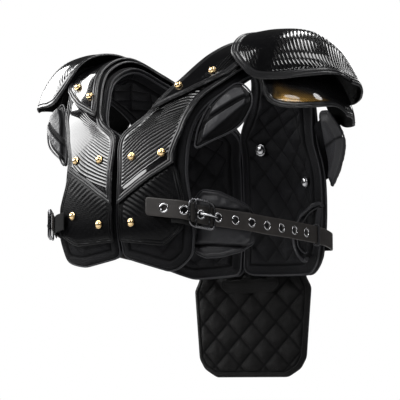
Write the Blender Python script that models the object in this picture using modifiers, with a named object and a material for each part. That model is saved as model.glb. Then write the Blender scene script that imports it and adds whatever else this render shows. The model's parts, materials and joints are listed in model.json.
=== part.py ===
"""Football shoulder pads: two mirrored halves over one shared shoulder surface.

Frame: +Z up, the wearer faces -Y, the wearer's left is +X. The origin is the
middle of the line on which the pads rest on the shoulders. Metres throughout.
"""
import math
from collections import namedtuple

import bmesh
import bpy
from mathutils import Vector

# ---------------------------------------------------------------- dimensions
PLATE = 0.003              # moulded plate
PAD = 0.021                # body padding
PAD_FACE = -0.0025         # outer face of the padding, under the plates
LOWER_FACE = 0.003         # outer face of the lower plates
ARCH_FACE = 0.0075         # outer face of the arch plates, over the lower ones
EPAULETTE_FACE = 0.0130    # outer face of the epaulettes, over the arch plates
CAP_WALL = 0.003           # shoulder cap
LIMB_PAD = 0.014           # deltoid and rib pads

BELT_WIDTH = 0.0235
BELT_THICK = 0.0028
BUCKLE_LONG = 0.025
BUCKLE_TALL = 0.038
BUCKLE_WIRE = 0.0038

RIVET_RADIUS = 0.0060
RIVET_RISE = 0.0048
SNAP_RADIUS = 0.0085
SNAP_RISE = 0.0060

FLAP_WIDTH = 0.202
FLAP_TOP = -0.262
FLAP_BOTTOM = -0.421
FLAP_BACK = 0.1845
FLAP_THICK = 0.0105
FLAP_CORNER = 0.030

GAP = 0.0004               # left between pieces that touch
FIT = 0.0012               # left between curved pieces that lie on each other
PAD_EDGE = 0.4             # share of a pad's thickness that its edges keep

# ---------------------------------------------------------- shoulder surface
# Each station is a line across the left half, from the middle or the neck
# (inner) to the arm (outer). bulge is how far its middle stands outwards.
Station = namedtuple("Station", "place inner outer bulge")
STATIONS = (
    Station("front hem", (0.003, -0.152, -0.270), (0.108, -0.134, -0.284), 0.006),
    Station("front low", (0.003, -0.164, -0.225), (0.114, -0.149, -0.220), 0.005),
    Station("front middle", (0.003, -0.162, -0.155), (0.103, -0.148, -0.150), 0.003),
    Station("front vee", (0.003, -0.155, -0.107), (0.101, -0.140, -0.100), 0.003),
    Station("chest", (0.036, -0.143, -0.080), (0.115, -0.124, -0.064), 0.003),
    Station("collarbone", (0.058, -0.115, -0.045), (0.140, -0.088, -0.033), 0.003),
    Station("front shoulder", (0.0825, -0.067, 0.000), (0.163, -0.050, -0.008), 0.005),
    Station("crown", (0.0895, -0.002, 0.026), (0.171, 0.004, 0.003), 0.007),
    Station("rear shoulder", (0.079, 0.060, 0.012), (0.169, 0.060, -0.010), 0.008),
    Station("shoulder blade", (0.049, 0.108, -0.018), (0.160, 0.096, -0.040), 0.012),
    Station("rear vee", (0.006, 0.153, -0.062), (0.158, 0.106, -0.088), 0.020),
    Station("back middle", (0.003, 0.162, -0.110), (0.170, 0.106, -0.140), 0.026),
    Station("back low", (0.003, 0.166, -0.205), (0.172, 0.104, -0.215), 0.027),
    Station("back hem", (0.003, 0.162, -0.272), (0.158, 0.112, -0.280), 0.025),
)

# Outlines on that surface. A row is one line across a panel: along is the
# station number, across runs from 0 at the inner edge to 1 at the outer one.
Row = namedtuple("Row", "along_in across_in along_out across_out")
FRONT_PAD = (
    Row(0.10, 0.00, 0.00, 0.68),
    Row(0.38, 0.00, 0.27, 0.93),
    Row(0.75, 0.00, 0.75, 0.96),
    Row(1.83, 0.00, 1.83, 0.94),
    Row(2.90, 0.00, 2.90, 0.99),
    Row(4.00, -0.03, 4.00, 1.00),
    Row(6.90, -0.06, 6.90, 1.00),
)
BACK_PAD = (
    Row(7.00, -0.06, 7.00, 1.00),
    Row(9.60, -0.03, 9.60, 1.00),
    Row(10.30, 0.00, 10.30, 1.00),
    Row(12.65, 0.00, 12.70, 1.00),
    Row(12.99, 0.00, 12.98, 0.84),
)
CHEST_PLATE = (
    Row(0.62, 0.015, 0.50, 0.62),
    Row(0.80, 0.015, 0.84, 0.86),
    Row(1.20, 0.015, 1.40, 0.91),
    Row(1.50, 0.015, 1.90, 0.87),
    Row(1.60, 0.030, 2.25, 0.78),
)
ARCH_PLATE = (
    Row(1.43, 0.015, 2.08, 0.82),
    Row(2.10, 0.015, 2.40, 0.83),
    Row(2.85, 0.015, 2.85, 0.93),
    Row(3.50, 0.010, 3.50, 0.94),
    Row(4.20, 0.000, 4.20, 0.91),
    Row(5.30, 0.000, 5.40, 0.88),
    Row(9.40, 0.000, 9.40, 0.88),
    Row(10.20, 0.020, 10.20, 0.90),
    Row(10.90, 0.030, 10.70, 0.84),
    Row(11.60, 0.030, 11.10, 0.72),
)
BACK_PLATE = (
    Row(11.35, 0.040, 10.95, 0.70),
    Row(11.80, 0.030, 11.55, 0.84),
    Row(12.25, 0.030, 12.20, 0.88),
    Row(12.55, 0.030, 12.45, 0.70),
)
EPAULETTE = (
    Row(4.02, 0.13, 4.04, 0.19),
    Row(4.25, 0.08, 4.36, 0.58),
    Row(4.60, 0.06, 4.72, 0.75),
    Row(5.00, 0.06, 5.12, 0.84),
    Row(5.50, 0.06, 5.60, 0.82),
    Row(6.00, 0.06, 6.00, 0.78),
    Row(8.40, 0.06, 8.40, 0.78),
    Row(9.00, 0.06, 8.90, 0.76),
    Row(9.35, 0.08, 9.20, 0.62),
    Row(9.70, 0.13, 9.66, 0.20),
)


# --------------------------------------------------------------- other pieces
# A dome has one row for each line from its front rim over its crown to its
# rear rim, from the neck side out to the tip.
Dome = namedtuple("Dome", "front crown rear")
CAP = (
    Dome((0.135, -0.089, -0.003), (0.121, 0.012, 0.048), (0.134, 0.113, -0.002)),
    Dome((0.164, -0.087, -0.029), (0.160, 0.012, 0.051), (0.166, 0.114, -0.030)),
    Dome((0.192, -0.070, -0.033), (0.200, 0.014, 0.044), (0.198, 0.104, -0.042)),
    Dome((0.222, -0.047, -0.029), (0.234, 0.018, 0.018), (0.225, 0.082, -0.050)),
    Dome((0.252, -0.020, -0.026), (0.256, 0.022, -0.018), (0.248, 0.058, -0.050)),
    Dome((0.264, 0.003, -0.032), (0.265, 0.022, -0.034), (0.261, 0.040, -0.046)),
)
UNDER_CAP = (
    Dome((0.169, -0.074, -0.045), (0.159, 0.012, 0.035), (0.172, 0.100, -0.046)),
    Dome((0.181, -0.070, -0.062), (0.178, 0.014, 0.028), (0.184, 0.099, -0.062)),
    Dome((0.198, -0.053, -0.069), (0.203, 0.018, 0.008), (0.200, 0.093, -0.074)),
    Dome((0.224, -0.024, -0.067), (0.226, 0.026, -0.019), (0.217, 0.079, -0.081)),
    Dome((0.240, 0.002, -0.065), (0.243, 0.030, -0.055), (0.238, 0.059, -0.084)),
    Dome((0.246, 0.020, -0.073), (0.248, 0.033, -0.075), (0.243, 0.047, -0.084)),
)

DELTOID_FRONT = (
    Station("foot", (0.1045, -0.143, -0.139), (0.113, -0.139, -0.129), 0.001),
    Station("low", (0.107, -0.138, -0.117), (0.156, -0.114, -0.101), 0.004),
    Station("middle", (0.111, -0.133, -0.092), (0.170, -0.101, -0.074), 0.006),
    Station("high", (0.121, -0.119, -0.062), (0.169, -0.095, -0.054), 0.005),
    Station("top", (0.141, -0.098, -0.037), (0.156, -0.090, -0.038), 0.002),
)
DELTOID_REAR = (
    Station("top", (0.168, 0.090, -0.052), (0.192, 0.077, -0.055), 0.002),
    Station("high", (0.162, 0.107, -0.070), (0.207, 0.080, -0.079), 0.005),
    Station("middle", (0.160, 0.120, -0.094), (0.210, 0.088, -0.098), 0.006),
    Station("low", (0.166, 0.1245, -0.124), (0.201, 0.095, -0.125), 0.004),
    Station("foot", (0.173, 0.117, -0.156), (0.183, 0.104, -0.155), 0.001),
)

# The rib pad's line round the side, seen from above, and its lobed outline.
RIB_PLAN = (
    (0.094, -0.130, 0.0),
    (0.107, -0.1295, 0.0),
    (0.119, -0.1245, 0.0),
    (0.1295, -0.108, 0.0),
    (0.141, -0.084, 0.0),
    (0.150, -0.054, 0.0),
)
RIB_PAD = (
    Row(-0.268, 0.34, -0.266, 0.62),
    Row(-0.262, 0.14, -0.258, 0.84),
    Row(-0.250, 0.00, -0.246, 0.98),
    Row(-0.215, 0.00, -0.212, 1.00),
    Row(-0.196, 0.04, -0.198, 0.92),
    Row(-0.180, 0.26, -0.182, 0.60),
)

# The belt: where it lies on the front and back plates, and the way between.
# Its points are an eyelet's pitch apart, so a place along it counts eyelets.
Lie = namedtuple("Lie", "along across")
BELT_FRONT = (Lie(1.31, 0.45), Lie(1.24, 0.68), Lie(1.17, 0.92))
BELT_SIDE = (
    (0.1220, -0.1450, -0.2140),
    (0.1330, -0.1210, -0.2165),
    (0.1435, -0.0960, -0.2185),
    (0.1540, -0.0720, -0.2205),
    (0.1625, -0.0470, -0.2230),
    (0.1690, -0.0210, -0.2245),
    (0.1740, 0.0050, -0.2260),
    (0.1775, 0.0310, -0.2275),
    (0.1795, 0.0570, -0.2290),
    (0.1785, 0.0820, -0.2305),
)
BELT_BACK = (Lie(12.28, 0.97), Lie(12.28, 0.82), Lie(12.28, 0.62))
BELT_LIFT = 0.0115         # belt's outer face over the shoulder surface
BELT_LIFT_BACK = 0.0080    # over the back plate, where no strap lies under it
BUCKLE_AT = 3.0
KEEPER_AT = 11.0
BELT_START = {"left": 0.0, "right": 2.5}   # the right one ends behind its buckle
ANCHOR_FROM = 1.3
ANCHOR_TO = 3.1
ANCHOR_DROP = 0.006        # how far the anchor strap hangs below the belt's line
ANCHOR_THICK = 0.0018
ANCHOR_BEHIND = 0.0010     # gap behind the belt's inner face

Stud = namedtuple("Stud", "name along across lift")
RIVETS = (
    Stud("chest_rivet_upper_inner", 2.34, 0.242, ARCH_FACE),
    Stud("chest_rivet_upper_outer", 2.34, 0.677, ARCH_FACE),
    Stud("chest_rivet_lower_inner", 1.06, 0.206, LOWER_FACE),
    Stud("chest_rivet_lower_outer", 1.23, 0.642, LOWER_FACE),
    Stud("epaulette_rivet_inner", 4.87, 0.215, EPAULETTE_FACE),
    Stud("epaulette_rivet_outer", 5.30, 0.530, EPAULETTE_FACE),
    Stud("epaulette_rivet_rear", 9.10, 0.370, EPAULETTE_FACE),
)
LINER_FACE = PAD_FACE - PAD - 2 * FIT
SNAPS = (
    Stud("liner_snap_upper_left", 10.48, 0.217, LINER_FACE),
    Stud("liner_snap_lower_left", 11.16, 0.852, LINER_FACE),
)

SIDES = (("left", 1), ("right", -1))


# ------------------------------------------------------------------- surfaces
def spline(points, place):
    """A Catmull-Rom curve through points, run on straight past its ends."""
    last = len(points) - 1
    first = min(max(math.floor(place), 0), last - 1)
    u = place - first
    start = Vector(points[first])
    end = Vector(points[first + 1])
    before = Vector(points[first - 1]) if first > 0 else start * 2 - end
    after = Vector(points[first + 2]) if first + 2 <= last else end * 2 - start
    leave = (end - before) * 0.5
    arrive = (after - start) * 0.5
    if u < 0:
        return start + leave * u
    if u > 1:
        return end + arrive * (u - 1)
    cube = start * 2 - end * 2 + leave + arrive
    square = end * 3 - start * 3 - leave * 2 - arrive
    return start + leave * u + square * u ** 2 + cube * u ** 3


def stations_surface(stations):
    """The surface through a table of stations, as a function of a place."""
    inners = [row.inner for row in stations]
    outers = [row.outer for row in stations]
    bulges = [(row.bulge, 0, 0) for row in stations]

    def ruled(along, across):
        return spline(inners, along).lerp(spline(outers, along), across)

    def place(along, across):
        crown = 4 * across * (1 - across) * spline(bulges, along).x
        return ruled(along, across) + facing(ruled, along, across) * crown

    return place


def dome_surface(rows):
    """A dome: along turns from the front rim, 0, to the rear rim, 1."""
    fronts = [row.front for row in rows]
    crowns = [row.crown for row in rows]
    rears = [row.rear for row in rows]

    def place(along, across):
        rim = spline(fronts if along < 0.5 else rears, across)
        crown = spline(crowns, across)
        rise = math.sin(math.pi * along)
        run = abs(math.cos(math.pi * along))
        middle = rim.lerp(crown, rise)
        return Vector((middle.x, crown.y + (rim.y - crown.y) * run, middle.z))

    return place


def wall_surface(plan):
    """An upright wall on a plan line: along is the height, across the share."""
    def place(along, across):
        foot = spline(plan, across * (len(plan) - 1))
        return Vector((foot.x, foot.y, along))

    return place


def facing(surface, along, across, step=0.01):
    """The outward unit normal of a surface at a place."""
    run = surface(along, across + step) - surface(along, across - step)
    rise = surface(along + step, across) - surface(along - step, across)
    return run.cross(rise).normalized()


def lifted(surface, along, across, lift):
    """A point that stands off a surface."""
    return surface(along, across) + facing(surface, along, across) * lift


shoulder = stations_surface(STATIONS)


# ------------------------------------------------------------------ materials
Finish = namedtuple("Finish", "colour roughness metallic")
FINISHES = {
    "gloss_shell": Finish((0.012, 0.012, 0.013), 0.22, 0.0),
    "dark_shell": Finish((0.010, 0.010, 0.010), 0.35, 0.0),
    "body_padding": Finish((0.012, 0.012, 0.014), 0.70, 0.0),
    "limb_padding": Finish((0.030, 0.031, 0.035), 0.65, 0.0),
    "quilted_flap": Finish((0.018, 0.017, 0.016), 0.62, 0.0),
    "belt_leather": Finish((0.042, 0.037, 0.034), 0.60, 0.0),
    "webbing": Finish((0.015, 0.015, 0.015), 0.85, 0.0),
    "gold_rivet": Finish((0.83, 0.60, 0.28), 0.22, 1.0),
    "dark_chrome": Finish((0.25, 0.25, 0.27), 0.20, 1.0),
    "black_buckle": Finish((0.02, 0.02, 0.02), 0.35, 1.0),
}


def make_material(name):
    finish = FINISHES[name]
    material = bpy.data.materials.new(name)
    material.use_nodes = True
    shader = material.node_tree.nodes["Principled BSDF"]
    shader.inputs["Base Color"].default_value = (*finish.colour, 1.0)
    shader.inputs["Roughness"].default_value = finish.roughness
    shader.inputs["Metallic"].default_value = finish.metallic
    return material


# ------------------------------------------------------------------- builders
def add_object(name, data, finish):
    """Link an object to the pads' collection with its finish."""
    piece = bpy.data.objects.new(name, data)
    data.materials.append(make_material(finish))
    pads.objects.link(piece)
    return piece


def on_side(point, side):
    """The point itself on the left, its mirror image on the right."""
    return Vector((point[0] * side, point[1], point[2]))


def lines_between(rows, step):
    """The rows of an outline with further lines between, one every step."""
    lines = []
    for start, end in zip(rows, rows[1:]):
        gap = max(abs(end.along_in - start.along_in), abs(end.along_out - start.along_out))
        count = max(1, round(gap / step))
        for index in range(count):
            share = index / count
            lines.append(Row(*(a + (b - a) * share for a, b in zip(start, end))))
    lines.append(rows[-1])
    return lines


def add_panel(
    name, finish, surface, rows, side, face=0.0, thick=PLATE, edge=1.0, columns=6, step=0.5
):
    """A wall that follows a surface inside an outline of rows.

    edge is the share of its thickness that it keeps along its outline.
    """
    shape = bmesh.new()
    grid = []
    for line in lines_between(rows, step):
        verts = []
        for column in range(columns + 1):
            share = column / columns
            along = line.along_in + (line.along_out - line.along_in) * share
            across = line.across_in + (line.across_out - line.across_in) * share
            point = lifted(surface, along, across, face)
            verts.append(shape.verts.new(on_side(point, side)))
        grid.append(verts)
    shape.verts.index_update()
    for lower, upper in zip(grid, grid[1:]):
        for column in range(columns):
            corners = [lower[column], lower[column + 1], upper[column + 1], upper[column]]
            if side < 0:
                corners.reverse()
            shape.faces.new(corners)
    inside = [vert.index for vert in shape.verts if not vert.is_boundary]
    mesh = bpy.data.meshes.new(name)
    shape.to_mesh(mesh)
    shape.free()
    panel = add_object(name, mesh, finish)
    panel.vertex_groups.new(name="inside").add(inside, 1.0, "REPLACE")
    wall = panel.modifiers.new("wall", "SOLIDIFY")
    wall.vertex_group = "inside"
    wall.thickness_vertex_group = edge
    wall.thickness = thick
    wall.offset = -1
    wall.use_even_offset = False
    return panel


def strap_surface(points, width, edge):
    """A strap: across runs along its points, along from -1 to 1 over its width."""
    def place(along, across):
        return spline(points, across) + Vector(edge) * (along * width / 2)

    return place


def add_strap(name, finish, points, width, thick, side, start=0, end=None, edge=(0, 0, 1), steps=2):
    """A flat strap whose outer face follows points."""
    last = len(points) - 1 if end is None else end
    rows = (Row(-1, start, -1, last), Row(1, start, 1, last))
    surface = strap_surface(points, width, edge)
    columns = math.ceil((last - start) * steps)
    return add_panel(name, finish, surface, rows, side, thick=thick, columns=columns, step=2)


def add_tube(name, finish, points, radius, closed):
    """A round wire through points."""
    curve = bpy.data.curves.new(name, "CURVE")
    curve.dimensions = "3D"
    curve.bevel_depth = radius
    curve.bevel_resolution = 1
    curve.use_fill_caps = not closed
    wire = curve.splines.new("POLY")
    wire.points.add(len(points) - 1)
    for spot, point in zip(wire.points, points):
        spot.co = (*point, 1)
    wire.use_cyclic_u = closed
    return add_object(name, curve, finish)


def add_slab(name, finish, outline, depth, thick):
    """An upright slab with a flat outline of (x, z) points, centred on y = depth."""
    curve = bpy.data.curves.new(name, "CURVE")
    curve.dimensions = "2D"
    curve.fill_mode = "BOTH"
    curve.extrude = thick / 2
    edge = curve.splines.new("POLY")
    edge.points.add(len(outline) - 1)
    for spot, (x, z) in zip(edge.points, outline):
        spot.co = (x, z, 0, 1)
    edge.use_cyclic_u = True
    slab = add_object(name, curve, finish)
    slab.rotation_euler = (math.pi / 2, 0, 0)
    slab.location = (0, depth, 0)
    return slab


def add_dome(name, finish, centre, outward, radius, rise):
    """A round-headed stud that stands on a face at centre."""
    shape = bmesh.new()
    bmesh.ops.create_uvsphere(shape, u_segments=10, v_segments=6, radius=radius)
    bmesh.ops.scale(shape, vec=(1, 1, rise / radius), verts=shape.verts)
    everything = shape.verts[:] + shape.edges[:] + shape.faces[:]
    bmesh.ops.bisect_plane(
        shape, geom=everything, plane_co=(0, 0, 0), plane_no=(0, 0, 1), clear_inner=True
    )
    bmesh.ops.holes_fill(shape, edges=shape.edges)
    bmesh.ops.recalc_face_normals(shape, faces=shape.faces)
    mesh = bpy.data.meshes.new(name)
    shape.to_mesh(mesh)
    shape.free()
    mesh.shade_smooth()
    stud = add_object(name, mesh, finish)
    stud.location = centre
    stud.rotation_euler = outward.to_track_quat("Z", "Y").to_euler()
    return stud


# ------------------------------------------------------------------ the belts
def belt_points():
    """The belt's outer face, from its free end round the side to the back."""
    front = [lifted(shoulder, lie.along, lie.across, BELT_LIFT) for lie in BELT_FRONT]
    back = [lifted(shoulder, lie.along, lie.across, BELT_LIFT_BACK) for lie in BELT_BACK]
    return front + [Vector(point) for point in BELT_SIDE] + back


def belt_frame(points, place):
    """The point on the belt's middle line, its run and its outward direction."""
    run = (spline(points, place + 0.05) - spline(points, place - 0.05)).normalized()
    outward = run.cross(Vector((0, 0, 1))).normalized()
    return spline(points, place), run, outward


def on_belt(points, place, along, up, out):
    """A point given from a place on the belt: along it, up it and off its face."""
    centre, run, outward = belt_frame(points, place)
    return centre + run * along + Vector((0, 0, 1)) * up + outward * out


def add_buckle(side_name, side, points):
    """The buckle's frame round its bar, with the prong laid over the frame."""
    half_long = (BUCKLE_LONG - BUCKLE_WIRE) / 2
    half_tall = (BUCKLE_TALL - BUCKLE_WIRE) / 2
    corner = 0.004
    radius = BUCKLE_WIRE / 2
    out = radius + GAP
    ring = []
    for along_sign, up_sign in ((1, -1), (1, 1), (-1, 1), (-1, -1)):
        cuts = ((0, corner), (corner, 0))
        if along_sign * up_sign < 0:
            cuts = cuts[::-1]
        for cut_along, cut_up in cuts:
            along = along_sign * (half_long - cut_along)
            up = up_sign * (half_tall - cut_up)
            ring.append(on_side(on_belt(points, BUCKLE_AT, along, up, out), side))
    add_tube(f"buckle_frame_{side_name}", "black_buckle", ring, radius, True)
    prong_radius = 0.0014
    over = 2 * radius + GAP + prong_radius + GAP
    prong = []
    for along, lift in ((-half_long, over), (half_long, over), (half_long + 0.008, over - 0.0025)):
        prong.append(on_side(on_belt(points, BUCKLE_AT, along, 0, lift), side))
    add_tube(f"buckle_prong_{side_name}", "dark_chrome", prong, prong_radius, False)


def add_keeper(side_name, side, points):
    """The loop that holds the belt's running end, round its section."""
    radius = 0.0016
    up = BELT_WIDTH / 2 + radius + GAP
    front = radius + GAP
    behind = -(BELT_THICK + radius + GAP)
    ring = []
    for height, out in ((-up, front), (up, front), (up, behind), (-up, behind)):
        ring.append(on_side(on_belt(points, KEEPER_AT, 0, height, out), side))
    add_tube(f"belt_keeper_{side_name}", "black_buckle", ring, radius, True)


def add_belt(side_name, side):
    """One side belt with its buckle, the buckle's anchor strap and the keeper."""
    points = belt_points()
    add_strap(
        f"belt_{side_name}", "belt_leather", points, BELT_WIDTH, BELT_THICK, side,
        start=BELT_START[side_name],
    )
    places = [ANCHOR_FROM + (ANCHOR_TO - ANCHOR_FROM) * step / 6 for step in range(7)]
    behind = -(BELT_THICK + ANCHOR_BEHIND)
    anchor = [on_belt(points, place, 0, -ANCHOR_DROP, behind) for place in places]
    add_strap(f"anchor_strap_{side_name}", "webbing", anchor, BELT_WIDTH, ANCHOR_THICK, side)
    add_buckle(side_name, side, points)
    add_keeper(side_name, side, points)


# ------------------------------------------------------------------ the halves
def add_half(side_name, side):
    """Everything that both halves have."""
    def panel(name, finish, surface, rows, **sizes):
        add_panel(f"{name}_{side_name}", finish, surface, rows, side, **sizes)

    padding = {"face": PAD_FACE, "thick": PAD, "edge": PAD_EDGE}
    panel("front_pad", "body_padding", shoulder, FRONT_PAD, **padding)
    panel("back_pad", "body_padding", shoulder, BACK_PAD, **padding)
    panel("chest_plate", "dark_shell", shoulder, CHEST_PLATE, face=LOWER_FACE)
    panel(
        "arch_plate", "gloss_shell", shoulder, ARCH_PLATE,
        face=ARCH_FACE, columns=8, step=0.34,
    )
    panel("back_plate", "dark_shell", shoulder, BACK_PLATE, face=LOWER_FACE)
    panel(
        "epaulette", "gloss_shell", shoulder, EPAULETTE,
        face=EPAULETTE_FACE, columns=6, step=0.34,
    )

    whole = (Row(0, 0, 0, 5), Row(1, 0, 1, 5))
    panel("cap", "gloss_shell", dome_surface(CAP), whole, thick=CAP_WALL, columns=7, step=0.1)
    panel(
        "under_cap", "gloss_shell", dome_surface(UNDER_CAP), whole,
        thick=CAP_WALL, columns=6, step=0.125,
    )
    front = stations_surface(DELTOID_FRONT)
    rear = stations_surface(DELTOID_REAR)
    strips = (Row(0, 0, 0, 1), Row(4, 0, 4, 1))
    cushion = {"thick": LIMB_PAD, "edge": PAD_EDGE}
    panel("deltoid_front", "limb_padding", front, strips, columns=4, **cushion)
    panel("deltoid_rear", "limb_padding", rear, strips, columns=4, **cushion)
    ribs = wall_surface(RIB_PLAN)
    panel("rib_pad", "limb_padding", ribs, RIB_PAD, columns=9, step=0.02, **cushion)
    add_belt(side_name, side)

    for stud in RIVETS:
        spot = lifted(shoulder, stud.along, stud.across, stud.lift + GAP)
        outward = facing(shoulder, stud.along, stud.across)
        add_dome(
            f"{stud.name}_{side_name}", "gold_rivet", on_side(spot, side),
            on_side(outward, side), RIVET_RADIUS, RIVET_RISE,
        )


def add_snaps():
    """The snaps on the left half's liner."""
    for stud in SNAPS:
        spot = lifted(shoulder, stud.along, stud.across, stud.lift)
        inward = -facing(shoulder, stud.along, stud.across)
        add_dome(stud.name, "dark_chrome", spot, inward, SNAP_RADIUS, SNAP_RISE)


# ----------------------------------------------------- what joins the halves
LINK_ACROSS = (0.26, 0.14, 0.04)


def link_points(along, lift):
    """A line over the middle from one half's surface to the other's."""
    left = [lifted(shoulder, along, across, lift) for across in LINK_ACROSS]
    right = [on_side(point, -1) for point in reversed(left)]
    return left + right


def add_links():
    """The hidden straps behind the breast and over the spine."""
    behind = link_points(1.6, PAD_FACE - PAD - 0.004)
    add_strap("breast_link", "webbing", behind[::-1], 0.030, 0.0025, 1)
    over = link_points(10.95, ARCH_FACE + 0.0025 + 0.0025)
    add_strap("spine_link", "webbing", over, 0.030, 0.0025, 1)


FLAP_OUTLINE = (
    (FLAP_WIDTH / 2 - 0.0095, FLAP_TOP),
    (FLAP_WIDTH / 2 - 0.0095, FLAP_TOP - 0.0150),
    (FLAP_WIDTH / 2, FLAP_TOP - 0.0300),
    (FLAP_WIDTH / 2 - 0.0085, FLAP_BOTTOM + FLAP_CORNER - 0.003),
    (FLAP_WIDTH / 2 - 0.0085 - FLAP_CORNER, FLAP_BOTTOM),
)
TAB_OUTLINE = ((0.0510, -0.2775), (0.0510, -0.2880), (0.0400, -0.2980))


def both_ways(outline):
    """A half outline of (x, z) points, from the top down, closed by its mirror."""
    return list(outline) + [(-x, z) for x, z in reversed(outline)]


def add_flap():
    """The back flap, the tab over its top and the two straps it hangs from."""
    middle = FLAP_BACK - FLAP_THICK / 2
    add_slab("back_flap", "quilted_flap", both_ways(FLAP_OUTLINE), middle, FLAP_THICK)
    tab_middle = FLAP_BACK - FLAP_THICK - GAP - 0.0015
    add_slab("flap_tab", "quilted_flap", both_ways(TAB_OUTLINE), tab_middle, 0.003)
    for side_name, side in SIDES:
        plate = lifted(shoulder, 12.15, 0.28, LOWER_FACE + 0.0045)
        hem = lifted(shoulder, 12.42, 0.28, LOWER_FACE + 0.0055)
        behind = FLAP_BACK + 0.0035
        points = [(plate.x, behind, height) for height in (-0.325, -0.290, -0.257)]
        points += [(plate.x, hem.y, hem.z), tuple(plate)]
        add_strap(
            f"flap_strap_{side_name}", "webbing", points, 0.025, 0.0020, side,
            edge=(1, 0, 0),
        )


# ----------------------------------------------------------------------- build
for old in list(bpy.data.objects):
    bpy.data.objects.remove(old)

pads = bpy.data.collections.new("football_shoulder_pads")
bpy.context.scene.collection.children.link(pads)
for name, sign in SIDES:
    add_half(name, sign)
add_snaps()
add_links()
add_flap()
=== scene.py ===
import json
import math
from contextlib import contextmanager

import bpy
import numpy as np
from mathutils import Matrix, Vector
from mathutils.kdtree import KDTree

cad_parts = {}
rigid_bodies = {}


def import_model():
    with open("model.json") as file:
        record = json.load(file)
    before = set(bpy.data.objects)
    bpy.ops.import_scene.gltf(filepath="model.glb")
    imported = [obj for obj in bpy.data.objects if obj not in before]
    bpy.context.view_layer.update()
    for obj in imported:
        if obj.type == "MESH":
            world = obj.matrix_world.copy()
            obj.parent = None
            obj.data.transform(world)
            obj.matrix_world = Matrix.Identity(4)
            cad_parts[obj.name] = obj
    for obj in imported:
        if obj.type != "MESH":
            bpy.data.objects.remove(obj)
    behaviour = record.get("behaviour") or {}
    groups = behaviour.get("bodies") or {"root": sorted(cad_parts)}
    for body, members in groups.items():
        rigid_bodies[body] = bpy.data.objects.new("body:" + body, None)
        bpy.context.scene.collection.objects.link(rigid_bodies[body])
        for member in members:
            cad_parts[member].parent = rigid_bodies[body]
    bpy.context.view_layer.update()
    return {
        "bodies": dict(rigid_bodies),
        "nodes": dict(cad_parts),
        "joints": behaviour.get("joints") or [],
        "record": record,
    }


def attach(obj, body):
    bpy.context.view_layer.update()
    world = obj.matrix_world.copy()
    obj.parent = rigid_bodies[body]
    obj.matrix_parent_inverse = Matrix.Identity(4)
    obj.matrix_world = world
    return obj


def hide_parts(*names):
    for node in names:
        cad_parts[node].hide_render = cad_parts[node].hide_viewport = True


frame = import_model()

bl_info = {
    "name": "Football shoulder pads",
    "version": (1, 0, 0),
    "blender": (4, 5, 0),
    "location": "3D View > Sidebar > Shoulder pads",
    "description": "Dresses the football shoulder pads: shells, padding, belts and flap",
    "category": "Object",
}

# ---------------------------------------------------------------- dimensions
PLATE = 0.003
PLATE_BULGE = 0.0003
PAD = 0.021
PAD_FACE = -0.0025
LOWER_FACE = 0.003
ARCH_FACE = 0.0075
EPAULETTE_FACE = 0.0130
CAP_WALL = 0.003
LIMB_PAD = 0.014
PAD_EDGE = 0.4  # a pad's thickness at its border, as a share of the whole
BELT_WIDTH = 0.0235
BELT_THICK = 0.0028
BUCKLE_TALL = 0.038
BUCKLE_WIRE = 0.0038
RIVET = (0.0054, 0.0048)  # a stud's radius and its rise
SNAP = (0.0085, 0.0060)
FLANGE = 0.0012
FLAP_TOP = -0.262
FLAP_BOTTOM = -0.421
FLAP_BACK = 0.1845
FLAP_THICK = 0.0105
TAB_HALF = 0.0015
GAP = 0.0004
FIT = 0.0012
LINER_FACE = PAD_FACE - PAD - 2 * FIT
CORD_PITCH = 0.0016
CLOTH_PITCH = 0.0036
CLOTH_FRAMES = 20
CLOTH_PRESSURE = 40.0
LIMB_BELLY = (-0.0004, 0.0024)  # the least and the most that the cloth may belly
FLAP_BELLY = (0, 0.0022)
SIDES = (("left", 1), ("right", -1))

# ---------------------------------------------------------- shoulder surface
# A station is a name, its inner point, its outer point and how far the line
# between them bulges.
STATIONS = (
    ("front hem", (0.003, -0.152, -0.27), (0.108, -0.134, -0.284), 0.006),
    ("front low", (0.003, -0.164, -0.225), (0.114, -0.149, -0.22), 0.005),
    ("front middle", (0.003, -0.162, -0.155), (0.103, -0.148, -0.15), 0.003),
    ("front vee", (0.003, -0.155, -0.107), (0.101, -0.14, -0.1), 0.003),
    ("chest", (0.036, -0.143, -0.08), (0.115, -0.124, -0.064), 0.003),
    ("collarbone", (0.058, -0.115, -0.045), (0.14, -0.088, -0.033), 0.003),
    ("front shoulder", (0.0825, -0.067, 0), (0.163, -0.05, -0.008), 0.005),
    ("crown", (0.0895, -0.002, 0.026), (0.171, 0.004, 0.003), 0.007),
    ("rear shoulder", (0.079, 0.06, 0.012), (0.169, 0.06, -0.01), 0.008),
    ("shoulder blade", (0.049, 0.108, -0.018), (0.16, 0.096, -0.04), 0.012),
    ("rear vee", (0.006, 0.153, -0.062), (0.158, 0.106, -0.088), 0.02),
    ("back middle", (0.003, 0.162, -0.11), (0.17, 0.106, -0.14), 0.026),
    ("back low", (0.003, 0.166, -0.205), (0.172, 0.104, -0.215), 0.027),
    ("back hem", (0.003, 0.162, -0.272), (0.158, 0.112, -0.28), 0.025),
)

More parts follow.
